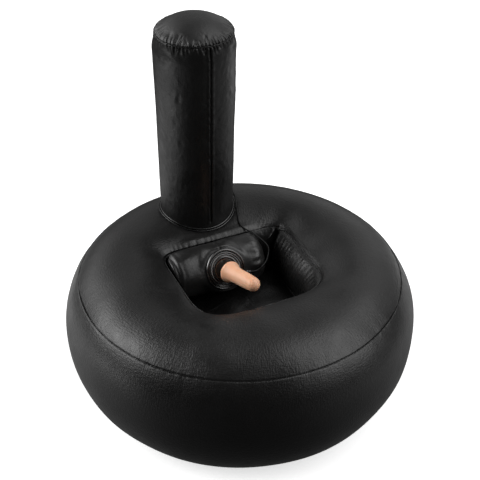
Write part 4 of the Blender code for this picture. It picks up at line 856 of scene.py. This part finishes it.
def collar():
    """Concentric beads round a finely ribbed band, wrapped over the bolster."""
    beads = [
        (COLLAR_RADIUS, 0.0008), (0.0442, 0.0030), (0.0428, 0.0046), (0.0414, 0.0040), (0.0403, 0.0012),
        (0.0394, 0.0008), (0.0385, 0.0026), (0.0373, 0.0040), (0.0361, 0.0034), (0.0352, 0.0010),
        (0.0346, 0.0011), (0.0340, 0.0018), (0.0326, 0.0021), (0.0308, 0.0018), (0.0298, 0.0010),
        (0.0290, 0.0012), (0.0280, 0.0026), (0.0268, 0.0027), (0.0256, 0.0018), (COLLAR_THROAT, 0.0002),
    ]
    top = smooth_line([(r, h - 0.02 * (COLLAR_RADIUS - r)) for r, h in beads], 4)
    under = [(COLLAR_THROAT, 0.0001), (0.034, 0.0001), (COLLAR_RADIUS - 0.0002, 0.0001)]
    around = turns(384)
    rings = revolved(*np.concatenate([under, top]).T, around)
    radius = np.hypot(rings[..., 0], rings[..., 1])
    ribs = RIB_HEIGHT * np.cos(RIB_COUNT * around) * within(radius, *COLLAR_BAND, 0.0012)
    rings[..., 2] += np.where(rings[..., 2] > 0.0004, ribs, 0)
    rings[..., 2] -= collar_drop(np.minimum(np.abs(rings[..., 1]), COLLAR_RADIUS))
    obj = closed_skin("collar_rings", moved(rings, collar_frame()))
    stands_for(obj, "seat", "collar_rubber", "collar_flange")


def neck():
    """The short ringed neck that bends from the socket onto the massager's axis."""
    first_frame, last_frame = collar_frame(), massager_frame()
    first = first_frame @ Vector((0, 0, -SOCKET_DEPTH + 0.0024))
    last = last_frame @ Vector((0, 0, SLEEVE_START - 0.0006))
    inward = first_frame.to_3x3() @ Vector((0, 0, 1))
    outward = last_frame.to_3x3() @ Vector((0, 0, 1))
    pull = (last - first).length / 3
    a, b, c, d = (np.array(p) for p in (first, first + inward * pull, last - outward * pull, last))
    share = np.linspace(0, 1, 72)[:, None]
    rest = 1 - share
    path = rest**3 * a + 3 * rest**2 * share * b + 3 * rest * share**2 * c + share**3 * d
    ahead = np.gradient(path, axis=0)
    ahead /= np.linalg.norm(ahead, axis=1, keepdims=True)
    side = np.cross(ahead, [0.0, 0.0, 1.0])
    side /= np.linalg.norm(side, axis=1, keepdims=True)
    up = np.cross(side, ahead)
    around = turns(48)
    run = np.concatenate([[0], np.cumsum(np.linalg.norm(np.diff(path, axis=0), axis=1))])
    radius = NECK_RADIUS - 0.0003 + NECK_RING_HEIGHT * np.cos(2 * np.pi * run / NECK_RING_SPACING)
    circle = side[:, None] * np.cos(around)[:, None] + up[:, None] * np.sin(around)[:, None]
    outer = path[:, None] + radius[:, None, None] * circle
    inner = path[:, None] + NECK_BORE * circle
    obj = closed_skin("ringed_neck", np.concatenate([outer, inner[::-1]]))
    stands_for(obj, "seat", "neck", "neck_coupling")


def massager():
    """The soft tapered sleeve with its flared base, bored from behind."""
    length = SLEEVE_END - SLEEVE_START
    tip = SLEEVE_RADIUS - 0.0012
    cap = np.linspace(0.04, np.pi / 2, 22)
    outer = [(tip * math.sin(t), length - tip * (1 - math.cos(t))) for t in cap]
    body = [
        (tip, length - tip), (SLEEVE_RADIUS, length * 0.62), (SLEEVE_RADIUS + 0.0004, length * 0.34),
        (SLEEVE_RADIUS + 0.0016, length * 0.19), (SLEEVE_BASE_RADIUS - 0.0022, length * 0.095),
        (SLEEVE_BASE_RADIUS, length * 0.055), (SLEEVE_BASE_RADIUS, 0.0024),
    ]
    lip = [(SLEEVE_BASE_RADIUS - 0.0005, 0.0008), (SLEEVE_BASE_RADIUS - 0.0016, 0.0)]
    bore = [(BORE_RADIUS + 0.0008, 0), (BORE_RADIUS, 0.0012), (BORE_RADIUS, BORE_DEPTH - 0.006)]
    bore += [(BORE_RADIUS * 0.72, BORE_DEPTH - 0.0014), (0.0004, BORE_DEPTH)]
    profile = np.concatenate([outer, smooth_line(body, 7)[1:], lip, bore])
    rings = revolved(*profile[::-1].T, turns(96))
    rings[..., 2] += SLEEVE_START
    rings = moved(rings, massager_frame())
    obj = skin("massager_skin", rings, [run_of(rings)])
    stands_for(obj, "massager", "silicone", "massager_sleeve")


def add_node(tree, kind, inputs, **properties):
    """A shader node with each of its inputs linked or set."""
    node = tree.nodes.new("ShaderNode" + kind)
    for name, value in properties.items():
        setattr(node, name, value)
    for socket, value in inputs.items():
        if isinstance(value, bpy.types.NodeSocket):
            tree.links.new(value, node.inputs[socket])
        else:
            node.inputs[socket].default_value = value
    return node


def maths(tree, operation, *values):
    return add_node(tree, "Math", dict(enumerate(values)), operation=operation).outputs[0]


def sum_up(tree, levels):
    total = levels[0]
    for level in levels[1:]:
        total = maths(tree, "ADD", total, level)
    return total


def by_ray(tree, to_camera, to_others, out):
    """Show one surface to the camera and another to every other ray."""
    seen = add_node(tree, "LightPath", {}).outputs["Is Camera Ray"]
    mix = add_node(tree, "MixShader", {"Fac": seen, 1: to_others, 2: to_camera})
    tree.links.new(mix.outputs["Shader"], out.inputs["Surface"])


class Recipe:
    """A Principled material that is written node by node."""

    def __init__(self, name, colour, roughness, **settings):
        self.material = bpy.data.materials.new(name)
        self.material.use_nodes = True
        self.tree = self.material.node_tree
        self.shader = self.tree.nodes["Principled BSDF"]
        self.put("Base Color", (*colour, 1.0))
        self.put("Roughness", roughness)
        for socket, value in settings.items():
            self.put(socket.replace("_", " "), value)
        self.normal = None

    def put(self, socket, value):
        self.shader.inputs[socket].default_value = value

    def add(self, kind, inputs, **properties):
        return add_node(self.tree, kind, inputs, **properties)

    def place(self, scale=(1.0, 1.0, 1.0), run=False):
        """Metres in the object, or metres run along the film, stretched by scale."""
        if run:
            source = self.add("UVMap", {}, uv_map="run").outputs["UV"]
        else:
            source = self.add("TexCoord", {}).outputs["Object"]
        return self.add("Mapping", {"Vector": source, "Scale": scale}).outputs["Vector"]

    def noise(self, at, scale=1.0, detail=2.0, distortion=0.0):
        inputs = {"Vector": at, "Scale": scale, "Detail": detail, "Distortion": distortion}
        return self.add("TexNoise", inputs).outputs["Fac"]

    def between(self, value, low, high, start=0.3, end=0.7):
        inputs = {"Value": value, "From Min": start, "From Max": end, "To Min": low, "To Max": high}
        return self.add("MapRange", inputs).outputs["Result"]

    def sum_of(self, *levels):
        return sum_up(self.tree, levels)

    def colours(self, value, low, high, start=0.3, end=0.7):
        ramp = self.add("ValToRGB", {"Fac": value})
        ramp.color_ramp.elements[0].position = start
        ramp.color_ramp.elements[0].color = (*low, 1.0)
        ramp.color_ramp.elements[1].position = end
        ramp.color_ramp.elements[1].color = (*high, 1.0)
        self.tree.links.new(ramp.outputs["Color"], self.shader.inputs["Base Color"])

    def rough(self, value, low, high, start=0.3, end=0.7):
        self.tree.links.new(self.between(value, low, high, start, end), self.shader.inputs["Roughness"])

    def bump(self, height, distance, strength=1.0):
        inputs = {"Height": height, "Distance": distance, "Strength": strength}
        if self.normal is not None:
            inputs["Normal"] = self.normal
        self.normal = self.add("Bump", inputs).outputs["Normal"]
        self.tree.links.new(self.normal, self.shader.inputs["Normal"])


def film(name, level, roughness, linen, crinkle, shading=None):
    """Black vinyl film with a fine linen emboss, soft handling marks and shallow crinkles.

    The last argument is the height range in metres over which a painted shade, darkest lower down, fades into
    the film's own colour.
    """
    made = Recipe(name, (level,) * 3, roughness, Specular_IOR_Level=0.38)
    clouds = made.noise(made.place(), 9.0, 3.0)
    # Painted shade: given a height range, the colour darkens to under a third of the film's level lower down,
    # mottled at random.
    if shading:
        height = made.add("SeparateXYZ", {"Vector": made.place()}).outputs["Z"]
        painted_shade_and_mottle = made.sum_of(made.between(height, 0.0, 1.0, *shading), made.between(clouds, -0.12, 0.12))
        made.colours(painted_shade_and_mottle, (level * 0.3,) * 3, (level * 1.03, level * 1.01, level), 0.0, 1.0)
    else:
        made.colours(clouds, (level * 0.8,) * 3, (level * 1.25, level * 1.22, level * 1.2))
    grime = made.noise(made.place(), 28.0, 4.0, 0.4)
    made.rough(grime, roughness - 0.05, roughness + 0.06)
    across = made.noise(made.place((LINEN_FINE, LINEN_COARSE, 1.0), run=True))
    along = made.noise(made.place((LINEN_COARSE, LINEN_FINE, 1.0), run=True))
    made.bump(made.sum_of(across, along), 0.0008, linen)
    folds = made.noise(made.place(), 26.0, 3.0, 1.2)
    made.bump(folds, 0.004, crinkle)
    return made.material


def weld_film():
    made = Recipe("weld_film", (0.008,) * 3, 0.22, Specular_IOR_Level=0.5)
    spots = made.noise(made.place(), 160.0, 2.0)
    made.colours(spots, (0.005,) * 3, (0.013,) * 3)
    made.rough(made.noise(made.place(), 70.0, 2.0), 0.15, 0.34)
    made.bump(made.noise(made.place(), 420.0, 1.0), 0.0008, 0.35)
    return made.material


def collar_rubber():
    gloss = {"Specular_IOR_Level": 1.0, "Coat_Weight": 0.6, "Coat_Roughness": 0.12}
    made = Recipe("collar_rubber", (0.009,) * 3, 0.2, **gloss)
    made.colours(made.noise(made.place(), 90.0, 3.0), (0.005, 0.005, 0.005), (0.012, 0.011, 0.011))
    made.rough(made.noise(made.place(), 60.0, 3.0), 0.12, 0.24)
    made.bump(made.noise(made.place(), 500.0, 2.0), 0.0004, 0.2)
    return made.material


def silicone():
    made = Recipe(
        "soft_silicone", (0.84, 0.46, 0.32), 0.42,
        Subsurface_Weight=0.25, Subsurface_Radius=(1.0, 0.42, 0.25), Subsurface_Scale=0.006,
    )
    made.colours(made.noise(made.place(), 34.0, 3.0), (0.66, 0.355, 0.215), (0.74, 0.41, 0.265))
    made.rough(made.noise(made.place(), 120.0, 3.0), 0.36, 0.52)
    made.bump(made.noise(made.place(), 900.0, 3.0), 0.0003, 0.35)
    return made.material


def plain(name, low, high, roughness, scale=80.0, grain=700.0, depth=0.0002, **settings):
    """A moulded, drawn or coated surface: a little uneven in colour and gloss, with a fine grain."""
    made = Recipe(name, low, roughness, **settings)
    made.colours(made.noise(made.place(), scale, 3.0), low, high)
    made.rough(made.noise(made.place(), scale * 1.7, 3.0), roughness - 0.07, roughness + 0.08)
    made.bump(made.noise(made.place(), grain, 2.0), depth, 0.3)
    return made.material


def wear_all():
    """Give every slot of the record its material, on the scene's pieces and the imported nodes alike."""
    black = (0.012, 0.012, 0.013)
    metal = {"Metallic": 1.0}
    finishes = {
        # The seat's film is painted darker below 0.28 m, darkest from 0.16 m down, as painted shade.
        "seat_film": film("seat_film", 0.0075, 0.33, 0.66, 0.04, (0.16, 0.28)),
        "column_film": film("column_film", 0.005, 0.40, 0.35, 0.30),
        # The bolster's film is the seat's black vinyl set lighter, as painted light for the dim well it sits
        # in.
        "bolster_film": film("bolster_film", 0.010, 0.32, 0.35, 0.22),
        "weld": weld_film(),
        "collar_rubber": collar_rubber(),
        "silicone": silicone(),
        "neck": plain("neck_grey", (0.40, 0.40, 0.41), (0.50, 0.50, 0.51), 0.22),
        "motor_tube": plain("motor_tube_black", black, (0.02, 0.02, 0.02), 0.40),
        "steel": plain("steel", (0.48, 0.48, 0.50), (0.62, 0.62, 0.64), 0.30, **metal),
        "brass": plain("brass", (0.55, 0.38, 0.15), (0.68, 0.50, 0.24), 0.32, **metal),
        "copper": plain("copper_wire", (0.50, 0.16, 0.08), (0.62, 0.24, 0.13), 0.35, **metal),
        "valve_vinyl": plain("valve_vinyl", (0.016,) * 3, (0.026,) * 3, 0.30, Transmission_Weight=0.1),
        "handset_case": plain("handset_black", black, (0.018, 0.018, 0.019), 0.44, grain=1400.0),
        "board": plain("board_green", (0.012, 0.10, 0.045), (0.02, 0.16, 0.07), 0.48),
        "cell": plain("cell_sleeve", (0.06, 0.06, 0.065), (0.10, 0.10, 0.11), 0.35),
        "lens": plain("lens_red", (0.45, 0.02, 0.015), (0.62, 0.04, 0.03), 0.12),
        "cable": plain("cable_jacket", (0.005,) * 3, (0.009,) * 3, 0.50, grain=900.0, Specular_IOR_Level=0.2),
    }
    slot_of = {row["node"]: row["material_slot"] for row in frame["record"]["subparts"]}
    shading = [(obj, slot_of[name]) for name, obj in frame["nodes"].items()]
    shading += [(obj, obj["finish"]) for obj in bpy.context.scene.objects if obj.get("finish")]
    for obj, slot in shading:
        obj.data.materials.clear()
        obj.data.materials.append(finishes[slot])


def lobe(tree, direction, azimuth, elevation, strength):
    """Light from one side of the room; the azimuth runs from the front (-Y) towards +X."""
    turn, rise = math.radians(azimuth), math.radians(elevation)
    middle = (math.sin(turn) * math.cos(rise), -math.cos(turn) * math.cos(rise), math.sin(rise))
    toward = add_node(tree, "VectorMath", {0: direction, 1: middle}, operation="DOT_PRODUCT").outputs["Value"]
    offset = math.log(strength) - LIGHT_TIGHTNESS
    return maths(tree, "EXPONENT", maths(tree, "MULTIPLY_ADD", toward, LIGHT_TIGHTNESS, offset))


def studio():
    """A white room to the camera, and broad soft lights round it to everything else."""
    scene = bpy.context.scene
    scene.view_settings.view_transform = "Standard"
    world = bpy.data.worlds.new("studio")
    scene.world = world
    world.use_nodes = True
    tree = world.node_tree
    room = tree.nodes["Background"]
    direction = add_node(tree, "TexCoord", {}).outputs["Generated"]
    lights = [lobe(tree, direction, *light) for light in ROOM_LIGHTS]
    tree.links.new(sum_up(tree, lights), room.inputs["Color"])
    white = add_node(tree, "Background", {"Color": (1.0, 1.0, 1.0, 1.0)})
    by_ray(tree, white.outputs["Background"], room.outputs["Background"], tree.nodes["World Output"])


def pool(tree, place, x, y, level):
    """Brightness of one pool of light at each place of the floor."""
    away = add_node(tree, "VectorMath", {0: place, 1: (x, y, 0.0)}, operation="DISTANCE").outputs["Value"]
    squared = maths(tree, "MULTIPLY", away, away)
    fall = maths(tree, "MULTIPLY_ADD", squared, -1 / POOL_SPREAD**2, math.log(level))
    return maths(tree, "EXPONENT", fall)


def studio_floor():
    """A pale floor to the camera, and only a dim one with pools of light to everything else."""
    mesh = bpy.data.meshes.new("studio_floor")
    corners = [(FLOOR_HALF * x, FLOOR_HALF * y, 0) for x, y in ((-1, -1), (1, -1), (1, 1), (-1, 1))]
    mesh.from_pydata(corners, [], [(0, 1, 2, 3)])
    obj = link("studio_floor", mesh)
    material = bpy.data.materials.new("pale_floor")
    material.use_nodes = True
    tree = material.node_tree
    tree.nodes.remove(tree.nodes["Principled BSDF"])
    pale = add_node(tree, "BsdfDiffuse", {"Color": (0.80, 0.80, 0.80, 1.0)}).outputs["BSDF"]
    glow = add_node(tree, "Emission", {"Strength": FLOOR_WHITE}).outputs["Emission"]
    seen = add_node(tree, "AddShader", {0: pale, 1: glow}).outputs["Shader"]
    place = add_node(tree, "TexCoord", {}).outputs["Object"]
    pools = [pool(tree, place, *spot) for spot in FLOOR_POOLS]
    dim = add_node(tree, "Emission", {"Strength": sum_up(tree, [FLOOR_GLOW, *pools])}).outputs["Emission"]
    by_ray(tree, seen, dim, tree.nodes["Material Output"])
    mesh.materials.append(material)


def write_sizes():
    bpy.context.view_layer.update()


def build():
    camera()
    cable()
    seat()
    seam_strip()
    rim_bead()
    column()
    cap_strip()
    foot_bead("foot_seam_inner", 0.0016, 0.0016, 0.0016, "column_base_weld")
    foot_bead("foot_seam_outer", 0.0052, -0.0006, 0.0012)
    bolster()
    collar()
    neck()
    massager()
    wear_all()
    studio_floor()
    studio()


build()
write_sizes()
